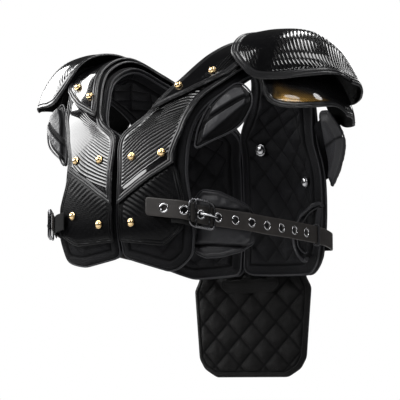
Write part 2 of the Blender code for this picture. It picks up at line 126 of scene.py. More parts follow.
# Outlines. A row is how far along and how far across a piece begins, and how
# far along and how far across it ends.
FRONT_PAD = (
    (0.1, 0, 0, 0.68), (0.38, 0, 0.27, 0.93), (0.75, 0, 0.75, 0.96), (1.83, 0, 1.83, 0.94),
    (2.9, 0, 2.9, 0.99), (4, -0.03, 4, 1), (6.96, -0.06, 6.96, 1),
)
FRONT_HEM = {1: (0.1, 0, -0.11, 0.7), -1: (0.12, 0, 0.09, 0.64)}
BACK_PAD = (
    (6.98, -0.06, 6.98, 1), (9.6, -0.03, 9.6, 1), (10.3, -0.01, 10.3, 1),
    (12.65, -0.01, 12.7, 1), (12.99, -0.01, 12.98, 0.84),
)
BACK_PAD_HEM = ((12.55, -0.01, 12.42, 1), (12.99, -0.01, 12.97, 0.54))
CHEST_PLATE = (
    (0.62, 0.015, 0.5, 0.62), (0.8, 0.015, 0.84, 0.86), (1.2, 0.015, 1.4, 0.91),
    (1.5, 0.015, 1.9, 0.87), (1.6, 0.03, 2.25, 0.78),
)
CHEST_HEM_RIGHT = (0.62, 0.015, 0.6, 0.62)
ARCH_PLATE = (
    (1.43, 0.015, 2.08, 0.82), (2.1, 0.015, 2.4, 0.83), (2.85, 0.015, 2.85, 0.93),
    (3.5, 0.01, 3.5, 0.94), (4.2, 0, 4.2, 0.91), (5.3, 0, 5.4, 0.88), (9.4, 0, 9.4, 0.88),
    (10.2, 0.02, 10.2, 0.9), (10.9, 0.03, 10.7, 0.84), (11.6, 0.03, 11.1, 0.72),
)
BACK_PLATE = (
    (11.35, 0.04, 10.95, 0.7), (11.8, 0.03, 11.55, 0.84), (12.25, 0.03, 12.2, 0.88),
    (12.55, 0.03, 12.45, 0.7),
)
EPAULETTE = (
    (4.02, 0.13, 4.04, 0.19), (4.25, 0.08, 4.36, 0.58), (4.6, 0.06, 4.72, 0.75),
    (5, 0.06, 5.12, 0.84), (5.5, 0.06, 5.6, 0.82), (6, 0.06, 6, 0.78), (8.4, 0.06, 8.4, 0.78),
    (9, 0.06, 8.9, 0.76), (9.35, 0.08, 9.2, 0.62), (9.7, 0.13, 9.66, 0.2),
)

# The arch plates' ribs: how far along the shoulder the line of each numbered
# rib stands, at these shares across.
RIB_SHARES = (0, 0.16, 0.45, 0.62, 0.86, 1)
RIB_NUMBERS = (-3, 0, 4, 8, 12, 15, 18, 21)
LAST_RIB = RIB_NUMBERS[-1]
RIB_ZERO = ((1.418, 1.547, 1.781, 1.919, 2.112, 2.225),)
LEFT_RIBS = (
    (1.65, 1.78, 2.04, 2.21, 2.45, 2.59), (1.93, 2.1, 2.43, 2.62, 2.91, 3.08),
    (2.22, 2.42, 2.9, 3.12, 3.41, 3.58), (2.62, 2.86, 3.46, 3.62, 3.74, 3.8),
    (3.05, 3.36, 3.95, 4.1, 4.04, 3.96), (3.62, 3.9, 4.4, 4.5, 4.36, 4.24),
    (4.3, 4.52, 4.87, 4.92, 4.76, 4.62),
)
RIGHT_RIBS = (
    (1.7, 1.76, 1.9, 2.05, 2.38, 2.54), (1.98, 2.04, 2.24, 2.44, 2.86, 3.04),
    (2.27, 2.33, 2.62, 2.9, 3.34, 3.52), (2.56, 2.66, 3.02, 3.34, 3.74, 3.88),
    (2.8, 2.92, 3.4, 3.72, 4.04, 4.14), (3.08, 3.24, 3.84, 4.12, 4.36, 4.44),
    (3.46, 3.66, 4.34, 4.58, 4.76, 4.8),
)

# --------------------------------------------------------------- other pieces
# A dome's row is its line at the front rim, at the crown and at the rear rim.
CAP = (
    ((0.135, -0.089, -0.003), (0.121, 0.012, 0.048), (0.134, 0.113, -0.002)),
    ((0.164, -0.087, -0.029), (0.16, 0.012, 0.051), (0.166, 0.114, -0.03)),
    ((0.192, -0.07, -0.033), (0.2, 0.014, 0.044), (0.198, 0.104, -0.042)),
    ((0.222, -0.047, -0.029), (0.234, 0.018, 0.018), (0.225, 0.082, -0.05)),
    ((0.252, -0.02, -0.026), (0.256, 0.022, -0.018), (0.248, 0.058, -0.05)),
    ((0.264, 0.003, -0.032), (0.265, 0.022, -0.034), (0.261, 0.04, -0.046)),
)
UNDER_CAP = (
    ((0.169, -0.074, -0.045), (0.159, 0.012, 0.035), (0.172, 0.1, -0.046)),
    ((0.181, -0.07, -0.062), (0.178, 0.014, 0.028), (0.184, 0.099, -0.062)),
    ((0.198, -0.053, -0.069), (0.203, 0.018, 0.008), (0.2, 0.093, -0.074)),
    ((0.224, -0.024, -0.067), (0.226, 0.026, -0.019), (0.217, 0.079, -0.081)),
    ((0.24, 0.002, -0.065), (0.243, 0.03, -0.055), (0.238, 0.059, -0.084)),
    ((0.246, 0.02, -0.073), (0.248, 0.033, -0.075), (0.243, 0.047, -0.084)),
)
WHOLE_DOME = ((0, 0, 0, 5), (1, 0, 1, 5))
CAP_RIGHT = ((0, 0, 0, 4.45), (0.22, 0, 0.22, 4.22), (0.6, 0, 0.6, 4.08), (1, 0, 1, 4.6))
UNDER_CAP_RIGHT = ((0, 0, 0, 4.35), (0.7, 0, 0.7, 4.35), (1, -0.8, 1, 4.35))
DELTOID_FRONT = (
    ("foot", (0.1045, -0.143, -0.139), (0.113, -0.139, -0.129), 0.001),
    ("low", (0.107, -0.138, -0.117), (0.156, -0.114, -0.101), 0.004),
    ("middle", (0.111, -0.133, -0.092), (0.17, -0.101, -0.074), 0.006),
    ("high", (0.121, -0.119, -0.062), (0.169, -0.095, -0.054), 0.005),
    ("top", (0.141, -0.098, -0.037), (0.156, -0.09, -0.038), 0.002),
)
DELTOID_FOOT = {1: 0.6, -1: 0.3}
DELTOID_REAR = (
    ("top", (0.168, 0.09, -0.052), (0.192, 0.077, -0.055), 0.002),
    ("high", (0.162, 0.107, -0.07), (0.207, 0.08, -0.079), 0.005),
    ("middle", (0.16, 0.12, -0.094), (0.21, 0.088, -0.098), 0.006),
    ("low", (0.166, 0.1245, -0.124), (0.201, 0.095, -0.125), 0.004),
    ("foot", (0.173, 0.117, -0.156), (0.183, 0.104, -0.155), 0.001),
)
RIB_PLAN = (
    (0.094, -0.13, 0), (0.107, -0.1295, 0), (0.119, -0.1245, 0), (0.1295, -0.108, 0),
    (0.141, -0.084, 0), (0.15, -0.054, 0),
)
RIB_PAD = (
    (-0.268, 0.34, -0.266, 0.62), (-0.262, 0.14, -0.258, 0.84), (-0.25, 0, -0.246, 0.98),
    (-0.215, 0, -0.212, 1), (-0.196, 0.04, -0.198, 0.92), (-0.18, 0.26, -0.182, 0.6),
)

# The belt starts and ends on the shoulder surface and goes round the side between.
BELT_FRONT = ((1.31, 0.45), (1.24, 0.68), (1.17, 0.92))
BELT_SIDE = (
    (0.122, -0.145, -0.214), (0.133, -0.121, -0.2165), (0.1435, -0.096, -0.2185),
    (0.154, -0.072, -0.2205), (0.1625, -0.047, -0.223), (0.169, -0.021, -0.2245),
    (0.174, 0.005, -0.226), (0.1775, 0.031, -0.2275), (0.1795, 0.057, -0.229),
    (0.1785, 0.082, -0.2305),
)
BELT_BACK = ((12.28, 0.97), (12.28, 0.82), (12.28, 0.62))
BELT_LIFT = 0.0115
BELT_LIFT_BACK = 0.0080
BELT_LONG = 0.385
BELT_STEP = 0.027  # from one eyelet to the next
BUCKLE_AT = 3.0
KEEPER_AT = 11.0
ANCHOR = [1.3 + (3.1 - 1.3) * step / 6 for step in range(7)]  # its places on the belt
ANCHOR_DROP = 0.006
ANCHOR_THICK = 0.0018
ANCHOR_BEHIND = 0.0010
EYELETS = range(1, 11)
BELT_START = {"left": 0.0, "right": 2.2}

# A stud is a name, how far along and across it sits, and the face under it.
RIVETS = (
    ("chest_rivet_upper_inner", 2.34, 0.242, ARCH_FACE),
    ("chest_rivet_upper_outer", 2.34, 0.677, ARCH_FACE),
    ("chest_rivet_lower_inner", 1.06, 0.206, LOWER_FACE),
    ("chest_rivet_lower_outer", 1.23, 0.642, LOWER_FACE),
    ("epaulette_rivet_inner", 4.87, 0.215, EPAULETTE_FACE),
    ("epaulette_rivet_outer", 5.30, 0.530, EPAULETTE_FACE),
    ("epaulette_rivet_rear", 9.10, 0.370, EPAULETTE_FACE),
)
SNAPS = (
    ("liner_snap_upper", 10.48, 0.217, LINER_FACE),
    ("liner_snap_lower", 11.16, 0.852, LINER_FACE),
)
LINK_ACROSS = (0.26, 0.14, 0.04)
LINKS = (
    ("breast_link", 1.6, PAD_FACE - PAD - 0.004),
    ("spine_link", 10.95, ARCH_FACE + 0.005),
)
FLAP_ROWS = (
    (FLAP_BOTTOM, -0.0635, FLAP_BOTTOM, 0.06), (-0.409, -0.084, -0.409, 0.0805),
    (-0.394, -0.093, -0.394, 0.0895), (-0.292, -0.101, -0.292, 0.0985),
    (-0.277, -0.093, -0.277, 0.09), (FLAP_TOP, -0.0915, FLAP_TOP, 0.089),
)
TAB_ROWS = (
    (-0.298, -0.04, -0.298, 0.04), (-0.288, -0.051, -0.288, 0.051),
    (-0.2775, -0.051, -0.2775, 0.051),
)

# Where a front deltoid pad's raised panels end: the share across the pad, then
# the upper panel's top, its foot and the lower panel's foot.
PANELS = (
    (0, 2, 1.42, 0.72), (0.2, 2.27, 1.88, 1.05), (0.4, 2.49, 2.09, 1.39),
    (0.62, 2.75, 2.36, 1.78), (0.82, 2.98, 2.67, 2.28), (1, 3.15, 2.9, 2.62),
)

# The trim round the belt's slot on the back pads' liners, and the roll under it.
TRIM_ROLL = (
    (0.1085, 0.1265, -0.204), (0.1175, 0.1205, -0.1945), (0.129, 0.1125, -0.19),
    (0.143, 0.1, -0.1868), (0.1545, 0.0895, -0.184), (0.163, 0.093, -0.1815),
    (0.1668, 0.0965, -0.186),
)
TRIM_PIPING = (
    (0.119, 0.1205, -0.206), (0.129, 0.113, -0.199), (0.14, 0.1025, -0.1945),
    (0.1545, 0.0885, -0.1915), (0.1645, 0.0955, -0.185),
)
TRIM_TAB = (
    (0.1632, 0.093, -0.188), (0.1618, 0.0925, -0.199), (0.1605, 0.0925, -0.211),
)
LOWER_ROLL = (
    (12.1, 0.6), (12.36, 0.63), (12.57, 0.72), (12.69, 0.83), (12.74, 0.94), (12.7, 1),
)
LOWER_PIPING = (
    (12.16, 0.655), (12.37, 0.7), (12.5, 0.79), (12.57, 0.9), (12.56, 0.99),
)
LOWER_LIFT = -0.0265
ROLL_RADIUS = 0.0030

# How a raised border stands: metres in from the edge, and its height there.
SHELL_RIM_WIDTH = 0.0072
SHELL_RIM = (
    (0, -0.0012), (0.0006, -0.0004), (0.0015, 0.0002), (0.0026, 0), (0.0036, -0.0007),
    (0.0048, 0.0002), (0.0058, 0), (0.007, -0.0007), (0.0085, -0.0004),
)
PAD_RIM = (
    (0, -0.003), (0.0015, -0.0012), (0.005, 0.0008), (0.01, 0.0004), (0.0125, -0.0016),
    (0.014, -0.0012), (0.019, 0.0006), (0.025, 0.0002),
)
CUSHION_RIM = (
    (0, -0.0032), (0.0012, -0.0016), (0.003, -0.0006), (0.0048, -0.002), (0.0062, -0.002),
    (0.011, 0.0004), (0.02, 0.0012),
)


# ------------------------------------------------------------------- surfaces
def spline(points, place):
    """A Catmull-Rom curve through points at each place, straight past its ends."""
    points = np.asarray(points, float)
    place = np.asarray(place, float)
    last = len(points) - 1
    first = np.clip(np.floor(place), 0, last - 1).astype(int)
    u = (place - first)[..., None]
    start = points[first]
    end = points[first + 1]
    before = np.where((first > 0)[..., None], points[first - 1], start * 2 - end)
    after = np.where(
        (first + 2 <= last)[..., None], points[np.minimum(first + 2, last)], end * 2 - start
    )
    leave = (end - before) * 0.5
    arrive = (after - start) * 0.5
    cube = start * 2 - end * 2 + leave + arrive
    square = end * 3 - start * 3 - leave * 2 - arrive
    curve = start + leave * u + square * u ** 2 + cube * u ** 3
    curve = np.where(u < 0, start + leave * u, curve)
    return np.where(u > 1, end + arrive * (u - 1), curve)


def unit(vectors):
    """Vectors made one metre long."""
    return vectors / np.maximum(np.linalg.norm(vectors, axis=-1, keepdims=True), 1e-12)


def facing(surface, along, across, step=0.01):
    """The outward unit normals of a surface at each place."""
    run = surface(along, across + step) - surface(along, across - step)
    rise = surface(along + step, across) - surface(along - step, across)
    return unit(np.cross(run, rise))


def surface_of(place):
    """A surface made of place, a rule that needs along and across in equal grids."""
    def surface(along, across):
        return place(*np.broadcast_arrays(np.asarray(along, float), across))

    return surface


def stations_surface(stations):
    """The surface through a table of stations."""
    inners, outers, bulges = ([row[part] for row in stations] for part in (1, 2, 3))

    def ruled(along, across):
        inner = spline(inners, along)
        return inner + (spline(outers, along) - inner) * np.asarray(across)[..., None]

    def place(along, across):
        bulge = spline([(bulge,) for bulge in bulges], along)
        crown = (4 * across * (1 - across))[..., None] * bulge
        return ruled(along, across) + facing(ruled, along, across) * crown

    return surface_of(place)


def dome_surface(rows):
    """A dome: along turns from the front rim, 0, to the rear rim, 1."""
    fronts, crowns, rears = zip(*rows)

    def place(along, across):
        ahead = (along < 0.5)[..., None]
        rim = np.where(ahead, spline(fronts, across), spline(rears, across))
        crown = spline(crowns, across)
        rise = np.sin(np.pi * along)[..., None]
        run = np.abs(np.cos(np.pi * along))
        middle = rim + (crown - rim) * rise
        middle[..., 1] = crown[..., 1] + (rim[..., 1] - crown[..., 1]) * run
        return middle

    return surface_of(place)


def wall_surface(plan):
    """An upright wall on a plan line: along is the height, across the share."""
    def place(along, across):
        foot = spline(plan, across * (len(plan) - 1))
        foot[..., 2] = along
        return foot

    return surface_of(place)


def upright_surface(depth):
    """An upright plane that faces the wearer's back: along is z, across is x."""
    return surface_of(
        lambda along, across: np.stack([across, np.full(along.shape, depth), along], axis=-1)
    )


def strap_surface(points, width, edge=(0, 0, 1)):
    """A strap: across runs along its points, along from -1 to 1 over its width."""
    return surface_of(
        lambda along, across:
        spline(points, across) + np.asarray(edge) * along[..., None] * width / 2
    )


shoulder = stations_surface(STATIONS)


def spot(along, across, lift, surface=shoulder):
    """One point that stands off a surface, and the surface's normal there."""
    along, across = np.array(along, float), np.array(across, float)
    normal = facing(surface, along, across)
    return surface(along, across) + normal * lift, normal


def on_side(points, side):
    """The points themselves on the left, their mirror image on the right."""
    return np.asarray(points) * (side, 1, 1)


# -------------------------------------------------------------- laying a piece
def spaced(length, pitch, rim=0.0, rim_pitch=0.001):
    """Shares from 0 to 1 that are pitch apart, and closer inside both rims."""
    steps = [0.0]
    while steps[-1] < length:
        near = min(steps[-1], length - steps[-1])
        blend = min(max((near - rim) / 0.004, 0.0), 1.0) if rim else 1.0
        steps.append(steps[-1] + rim_pitch + (pitch - rim_pitch) * blend)
    return np.array(steps) / steps[-1]


def smooth(low, high, value):
    """0 below low, 1 above high, and a smooth rise between."""
    share = np.clip((value - low) / (high - low), 0, 1)
    return share * share * (3 - 2 * share)


def groove(distance, width):
    """A soft groove, 1 deep at its middle."""
    return np.exp(-(distance / width) ** 2)


def stepped(steps, inward):
    """The height of a border at a distance in from the edge."""
    return np.interp(inward, *zip(*steps))


def softened(lines, reach):
    """Lines blurred by a bell that reaches this many points to each side."""
    kernel = np.hanning(2 * reach + 3)[1:-1]
    kernel /= kernel.sum()
    return np.stack([np.convolve(line, kernel, "valid") for line in lines])


def outline(rows, shares, soften=9):
    """The lines of an outline at shares of its length, its corners softened."""
    table = np.array(rows, float)
    gaps = np.maximum(abs(np.diff(table[:, 0])), abs(np.diff(table[:, 2])))
    reach = np.concatenate([[0], np.cumsum(gaps)]) / gaps.sum()
    fine = np.linspace(0, 1, 401)
    lines = np.stack([np.interp(fine, reach, column) for column in table.T])
    if soften:
        ahead = 2 * lines[:, :1] - lines[:, soften:0:-1]
        behind = 2 * lines[:, -1:] - lines[:, -2:-soften - 2:-1]
        lines = softened(np.concatenate([ahead, lines, behind], axis=1), soften)
    return np.stack([np.interp(shares, fine, line) for line in lines])


def lengths(points):
    """How long a line is up to each of its points."""
    steps = np.linalg.norm(np.diff(points, axis=0), axis=-1)
    return np.concatenate([[0], np.cumsum(steps)])


def evenly(line, pitch, least, ends=0):
    """Points evenly spaced on a line, about pitch apart."""
    reach = lengths(line)
    stops = np.linspace(0, reach[-1], max(least, round(reach[-1] / pitch)) + ends)
    return np.stack([np.interp(stops, reach, axis) for axis in line.T], axis=-1)


def tree_of(points):
    """A tree that finds the nearest of these points."""
    tree = KDTree(len(points))
    for index, point in enumerate(points):
        tree.insert(point, index)
    tree.balance()
    return tree


class Lay:
    """A grid of places on a surface, ready to be raised into a piece.

    p and q are metres across and along it, and edge is metres in from its border.
    """

    def __init__(self, surface, along, across, ends=(True, True)):
        self.along = along
        self.across = across
        self.points = surface(along, across)
        self.normals = facing(surface, along, across)
        runs = np.linalg.norm(np.diff(self.points, axis=1), axis=-1)
        self.p = np.concatenate([np.zeros((len(along), 1)), np.cumsum(runs, axis=1)], axis=1)
        middle = self.points[:, self.points.shape[1] // 2]
        self.q = lengths(middle)[:, None] + np.zeros_like(self.p)
        self.rows, self.columns = (count - 1 for count in self.p.shape)
        self.ends = ends
        self.edge = self.border_distance()

    def border_distance(self):
        """How far each point is in from the sides and from the ends that are free."""
        lines = [self.points[:, 0], self.points[:, -1]]
        lines += [self.points[end] for end, free in zip((0, -1), self.ends) if free]
        tree = tree_of(np.concatenate([evenly(line, 0.0004, 2) for line in lines]))
        flat = [tree.find(point)[2] for point in self.points.reshape(-1, 3)]
        return np.array(flat).reshape(self.p.shape)

    def at(self, height):
        """The grid's points, raised off the surface."""
        height = np.broadcast_to(height, self.p.shape)
        return self.points + self.normals * height[..., None]

    def loop(self):
        """The rows and the columns of the border's points, once round."""
        rows, columns = self.rows, self.columns
        row = [0] * columns + list(range(rows)) + [rows] * columns + list(range(rows, 0, -1))
        column = list(range(columns)) + [columns] * rows
        column += list(range(columns, 0, -1)) + [0] * rows
        return np.array(row), np.array(column)

    def outwards(self):
        """The way out of the grid over its border, in its own surface."""
        row, column = self.loop()
        line = self.points[row, column]
        run = np.roll(line, -3, axis=0) - np.roll(line, 3, axis=0)
        way = np.zeros_like(self.points)
        way[row, column] = unit(np.cross(run, self.normals[row, column]))
        return way


def between_sides(start, end, us):
    """A grid that goes from one column of values to another by these shares."""
    return start[:, None] + (end - start)[:, None] * us


def lay(surface, rows, length, width, pitch, rim=0.0, rim_pitch=0.001, soften=9, corner=0.0,
        ends=(True, True), fine=None):
    """Lay a grid inside an outline; corner rounds its corners, fine is its pitch across."""
    us = spaced(width, fine or pitch, rim, rim_pitch)
    vs = spaced(length, pitch, rim, rim_pitch)
    along_in, across_in, along_out, across_out = outline(rows, vs, soften)
    if corner:
        near = np.minimum(
            vs if ends[0] else np.ones_like(vs), 1 - vs if ends[1] else np.ones_like(vs)
        ) * length
        narrow = rounded(corner, near) / width
        span = across_out - across_in
        lean = along_out - along_in
        across_in, across_out = across_in + span * narrow, across_out - span * narrow
        along_in, along_out = along_in + lean * narrow, along_out - lean * narrow
    along = between_sides(along_in, along_out, us)
    return Lay(surface, along, between_sides(across_in, across_out, us), ends)


def rounded(corner, near):
    """How far a corner of this radius draws an edge in, this near to the end."""
    short = np.clip(corner - near, 0, corner)
    return corner - np.sqrt(corner ** 2 - short ** 2)


def even(line, pitch, closed):
    """A line's points at an even pitch, a little softened."""
    if closed:
        line = np.concatenate([line, line[:1]])
    line = evenly(line, pitch, 4, ends=1)
    for turn in range(4):
        line[1:-1] = line[1:-1] * 0.5 + (line[:-2] + line[2:]) * 0.25
    return line[:-1] if closed else line


# ------------------------------------------------------------ making the mesh
def select_only(*pieces):
    """Select these pieces, the last of them active."""
    bpy.ops.object.select_all(action="DESELECT")
    for piece in pieces:
        piece.select_set(True)
        bpy.context.view_layer.objects.active = piece


@contextmanager
def editing():
    """Edit mode, with the whole mesh selected."""
    bpy.ops.object.mode_set(mode="EDIT")
    bpy.ops.mesh.select_all(action="SELECT")
    yield
    bpy.ops.object.mode_set(mode="OBJECT")


def christen(piece, name):
    piece.name = piece.data.name = "dressed_" + name


def corners_of(mesh):
    """The mesh's points, a row each."""
    spots = np.empty(len(mesh.vertices) * 3)
    mesh.vertices.foreach_get("co", spots)
    return spots.reshape(-1, 3)


def make_slab(name, lay, side, outer, inner, bulge=0.0, rings=3, facets=40, marks=None):
    """A closed slab: a grid extruded ring by ring, then laid between two skins.

    outer and inner are the skins' heights off the surface. bulge is how far the
    side wall swells between them. marks are kept for the finishes to read.
    """
    select_only()
    bpy.ops.mesh.primitive_grid_add(
        x_subdivisions=lay.columns, y_subdivisions=lay.rows, size=1.0
    )
    piece = bpy.context.object
    with editing():
        for ring in range(rings):
            bpy.ops.mesh.extrude_region_move(TRANSFORM_OT_translate={"value": (0, 0, 1)})
    mesh = piece.data
    spots = corners_of(mesh)
    column = np.rint((spots[:, 0] + 0.5) * lay.columns).astype(int)
    row = np.rint((spots[:, 1] + 0.5) * lay.rows).astype(int)
    level = np.rint(spots[:, 2]).astype(int) / rings
    top = lay.at(outer)[row, column]
    bottom = lay.at(inner)[row, column]
    swell = np.sin(np.pi * level)[:, None] * bulge
    laid = bottom + (top - bottom) * level[:, None] + lay.outwards()[row, column] * swell
    mesh.vertices.foreach_set("co", on_side(laid, side).ravel())
    kept = {"inward": lay.edge[row, column], "level": level}
    for mark, values in (marks or {}).items():
        kept[mark] = np.broadcast_to(values, lay.p.shape)[row, column]
    for mark, values in kept.items():
        mesh.attributes.new(mark, "FLOAT", "POINT").data.foreach_set("value", values)
    loops = np.empty(len(mesh.loops), int)
    mesh.loops.foreach_get("vertex_index", loops)
    flat = np.stack([lay.p[row, column], lay.q[row, column]], axis=-1)[loops]
    mesh.uv_layers[0].data.foreach_set("uv", flat.ravel())
    if side < 0:
        with editing():
            bpy.ops.mesh.flip_normals()
    mesh.update()
    christen(piece, name)
    select_only(piece)
    bpy.ops.object.shade_smooth_by_angle(angle=math.radians(facets))
    return piece


def make_tube(name, path, radius, closed=False, sides=3, taper=None):
    """A round cord through points, as a mesh."""
    curve = bpy.data.curves.new(name, "CURVE")
    curve.dimensions = "3D"
    curve.bevel_depth = radius
    curve.bevel_resolution = sides
    curve.use_fill_caps = not closed
    line = curve.splines.new("POLY")
    line.points.add(len(path) - 1)
    for index, point in enumerate(path):
        line.points[index].co = (*point, 1)
        if taper is not None:
            line.points[index].radius = taper[index]
    line.use_cyclic_u = closed
    line.use_smooth = True
    tube = bpy.data.objects.new(name, curve)
    bpy.context.scene.collection.objects.link(tube)
    select_only(tube)
    bpy.ops.object.convert(target="MESH")
    tube = bpy.context.object
    christen(tube, name)
    bpy.ops.object.shade_smooth()
    return tube


def join(name, *pieces):
    """Join pieces into the first of them, each with its own finish."""
    select_only(*reversed(pieces))
    bpy.ops.object.join()
    piece = bpy.context.object
    christen(piece, name)
    return piece


def dress(piece, finish):
    piece.data.materials.clear()
    piece.data.materials.append(FINISHES[finish])
    return piece


def settle(piece, nodes=()):
    """Hand a finished piece to the frame, in place of its CAD nodes."""
    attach(piece, "root")
    if nodes:
        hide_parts(*nodes)


# ------------------------------------------------------------------- finishes
def maths(operation, swapped=False):
    """A method of Socket that adds one Math node."""
    def method(self, *others):
        values = (*others, self) if swapped else (self, *others)
        return self.recipe.node(
            "ShaderNodeMath", {"operation": operation}, dict(enumerate(values))
        )

    return method


class Socket:
    """A shader socket that Python's signs work on."""

    def __init__(self, recipe, output):
        self.recipe = recipe
        self.output = output

    __add__ = __radd__ = maths("ADD")
    __mul__ = __rmul__ = maths("MULTIPLY")
    __sub__ = maths("SUBTRACT")
    __rsub__ = maths("SUBTRACT", swapped=True)
    __lt__ = maths("LESS_THAN")
    floor = maths("FLOOR")
    fraction = maths("FRACT")
    sine = maths("SINE")
    cosine = maths("COSINE")
    most = maths("MAXIMUM")

    def wave(self, pitch):
        """A sine of this pitch."""
        return (self * (2 * math.pi / pitch)).sine()


class Recipe:
    """A finish in the making: one material, its nodes and its shader."""

    def __init__(self, name, **constants):
        self.material = bpy.data.materials.new(name)
        self.material.use_nodes = True
        self.tree = self.material.node_tree
        self.shader = self.tree.nodes["Principled BSDF"]
        for socket, value in constants.items():
            self.shader.inputs[socket.replace("_", " ")].default_value = value

    def node(self, kind, settings=None, sockets=None, output=0):
        """Any node: its settings first, then its sockets' values or links."""
        node = self.tree.nodes.new(kind)
        for setting, value in (settings or {}).items():
            setattr(node, setting, value)
        for socket, value in (sockets or {}).items():
            if isinstance(value, Socket):
                self.tree.links.new(value.output, node.inputs[socket])
            else:
                node.inputs[socket].default_value = value
        return Socket(self, node.outputs[output])

    def feed(self, **values):
        """Link varying values to the shader's sockets."""
        for socket, value in values.items():
            self.tree.links.new(value.output, self.shader.inputs[socket.replace("_", " ")])

    def flat(self):
        """The piece's own map, in metres: across it and along it."""
        where = self.node("ShaderNodeUVMap", {"uv_map": "UVMap"})
        across = self.node("ShaderNodeSeparateXYZ", None, {0: where})
        return across, Socket(self, across.output.node.outputs[1])

    def stored(self, name):
        """A number that the piece keeps at each point."""
        return self.node("ShaderNodeAttribute", {"attribute_name": name}, output=2)

    def body(self):
        """A place on the object itself."""
        return self.node("ShaderNodeTexCoord", output=3)

    def noise(self, scale, detail, rough=0.5):
        return self.node("ShaderNodeTexNoise", None, {
            "Vector": self.body(), "Scale": scale, "Detail": detail, "Roughness": rough
        })

    def between(self, value, low, high, start=0.0, end=1.0):
        """A value between low and high, eased over start to end."""
        return self.node(
            "ShaderNodeMapRange", {"interpolation_type": "SMOOTHSTEP"},
            {0: value, 1: low, 2: high, 3: start, 4: end},
        )

    def colours(self, share, first, second):
        """One colour turned into another by a share."""
        sockets = {0: share, 6: first, 7: second}
        for key in (6, 7):
            if not isinstance(sockets[key], Socket):
                sockets[key] = (*sockets[key], 1)
        return self.node("ShaderNodeMix", {"data_type": "RGBA"}, sockets, output=2)

    def bump(self, height, distance, under=None):
        sockets = {"Height": height, "Distance": distance}
        if under is not None:
            sockets["Normal"] = under
        return self.node("ShaderNodeBump", None, sockets)


def tinted(colour, share):
    """A colour made paler or darker."""
    return tuple(part * share for part in colour)


RIM_COLOUR = (0.0090, 0.0090, 0.0096)
WORN_COLOUR = (0.055, 0.055, 0.057)
# The shells' lining colour, also used as painted shade in the rib grooves.
LINING_AND_GROOVE_SHADE_COLOUR = (0.0015, 0.0015, 0.0015)
# Painted shade: the dark colour the cloth takes in its sunk seams, channels and grooves.
PAINTED_SHADE_COLOUR = (0.0008, 0.0008, 0.0010)


def finish_gloss_shell(colours):
    """Gloss black shell under a clear coat, satin on its rims, with painted shade in its rib
    grooves and a painted gold reflection where marked.
    """
    recipe = Recipe("gloss_shell", Coat_Roughness=0.035, Specular_IOR_Level=0.05)
    relief = recipe.stored("relief")
    rim = recipe.stored("rim")
    inward = recipe.stored("inward")
    crest = recipe.between((recipe.stored("ridge") * (2 * math.pi)).cosine(), -0.30, 0.25)
    # Painted shade: the rib grooves are pulled toward the lining colour and lose their coat.
    sunk_painted_shade = (1.0 - crest) * relief
    lining = recipe.between(recipe.stored("level"), 0.05, 0.35, 1.0, 0.0)
    p, q = recipe.flat()
    strands = (p + q).wave(0.0011) * 0.5 + 0.5
    cloud = recipe.noise(38.0, 3.0)
    # Painted reflection: a patchy gold metallic tint that stands in for a warm reflection.
    painted_gold_reflection = recipe.stored("painted_gold_reflection") * recipe.between(cloud, 0.30, 0.55, 0.35, 1.0)
    scuffs = recipe.between(recipe.noise(260.0, 3.0), 0.42, 0.68)
    worn = recipe.between(inward, 0.0, 0.0016, 1.0, 0.0) * scuffs
    base = recipe.colours(cloud, colours.shell, tinted(colours.shell, 1.7))
    base = recipe.colours(rim, base, RIM_COLOUR)
    base = recipe.colours(worn * 0.5, base, WORN_COLOUR)
    base = recipe.colours(lining.most(sunk_painted_shade * 0.8), base, LINING_AND_GROOVE_SHADE_COLOUR)
    smear = recipe.between(recipe.noise(120.0, 4.0), 0.35, 0.7, 0.14, 0.24)
    low = recipe.bump(strands * 0.25 + recipe.noise(700.0, 2.0) * 0.5, 0.00002)
    dull = (rim * 0.76).most(lining).most(sunk_painted_shade * 0.92).most(painted_gold_reflection * 0.95)
    recipe.feed(
        Base_Color=recipe.colours(painted_gold_reflection, base, colours.painted_gold_reflection), Metallic=painted_gold_reflection,
        Roughness=smear + (rim * 0.20).most(lining * 0.45).most(sunk_painted_shade * 0.40),
        Coat_Weight=1.0 - dull, Normal=recipe.bump(crest * relief, 0.00035, low),
    )
    return recipe.material


def finish_carbon(colours):
    """Dark lower shell: a woven twill seen through a thin clear coat."""
    recipe = Recipe("dark_shell", Coat_Roughness=0.09, Coat_Weight=0.08, Specular_IOR_Level=0.04)
    warp, weft = (way * (1 / 0.0024) for way in recipe.flat())
    over = ((warp.floor() + weft.floor()) * 0.25).fraction() < 0.5
    tow = warp.fraction().wave(2) * over + weft.fraction().wave(2) * (1.0 - over)
    recipe.feed(
        Base_Color=recipe.colours(over * tow, colours.carbon, tinted(colours.carbon, 1.9)),
        Roughness=0.28 + over * 0.08 + recipe.noise(90.0, 3.0) * 0.06,
        Normal=recipe.bump(tow, 0.00010),
    )
    return recipe.material


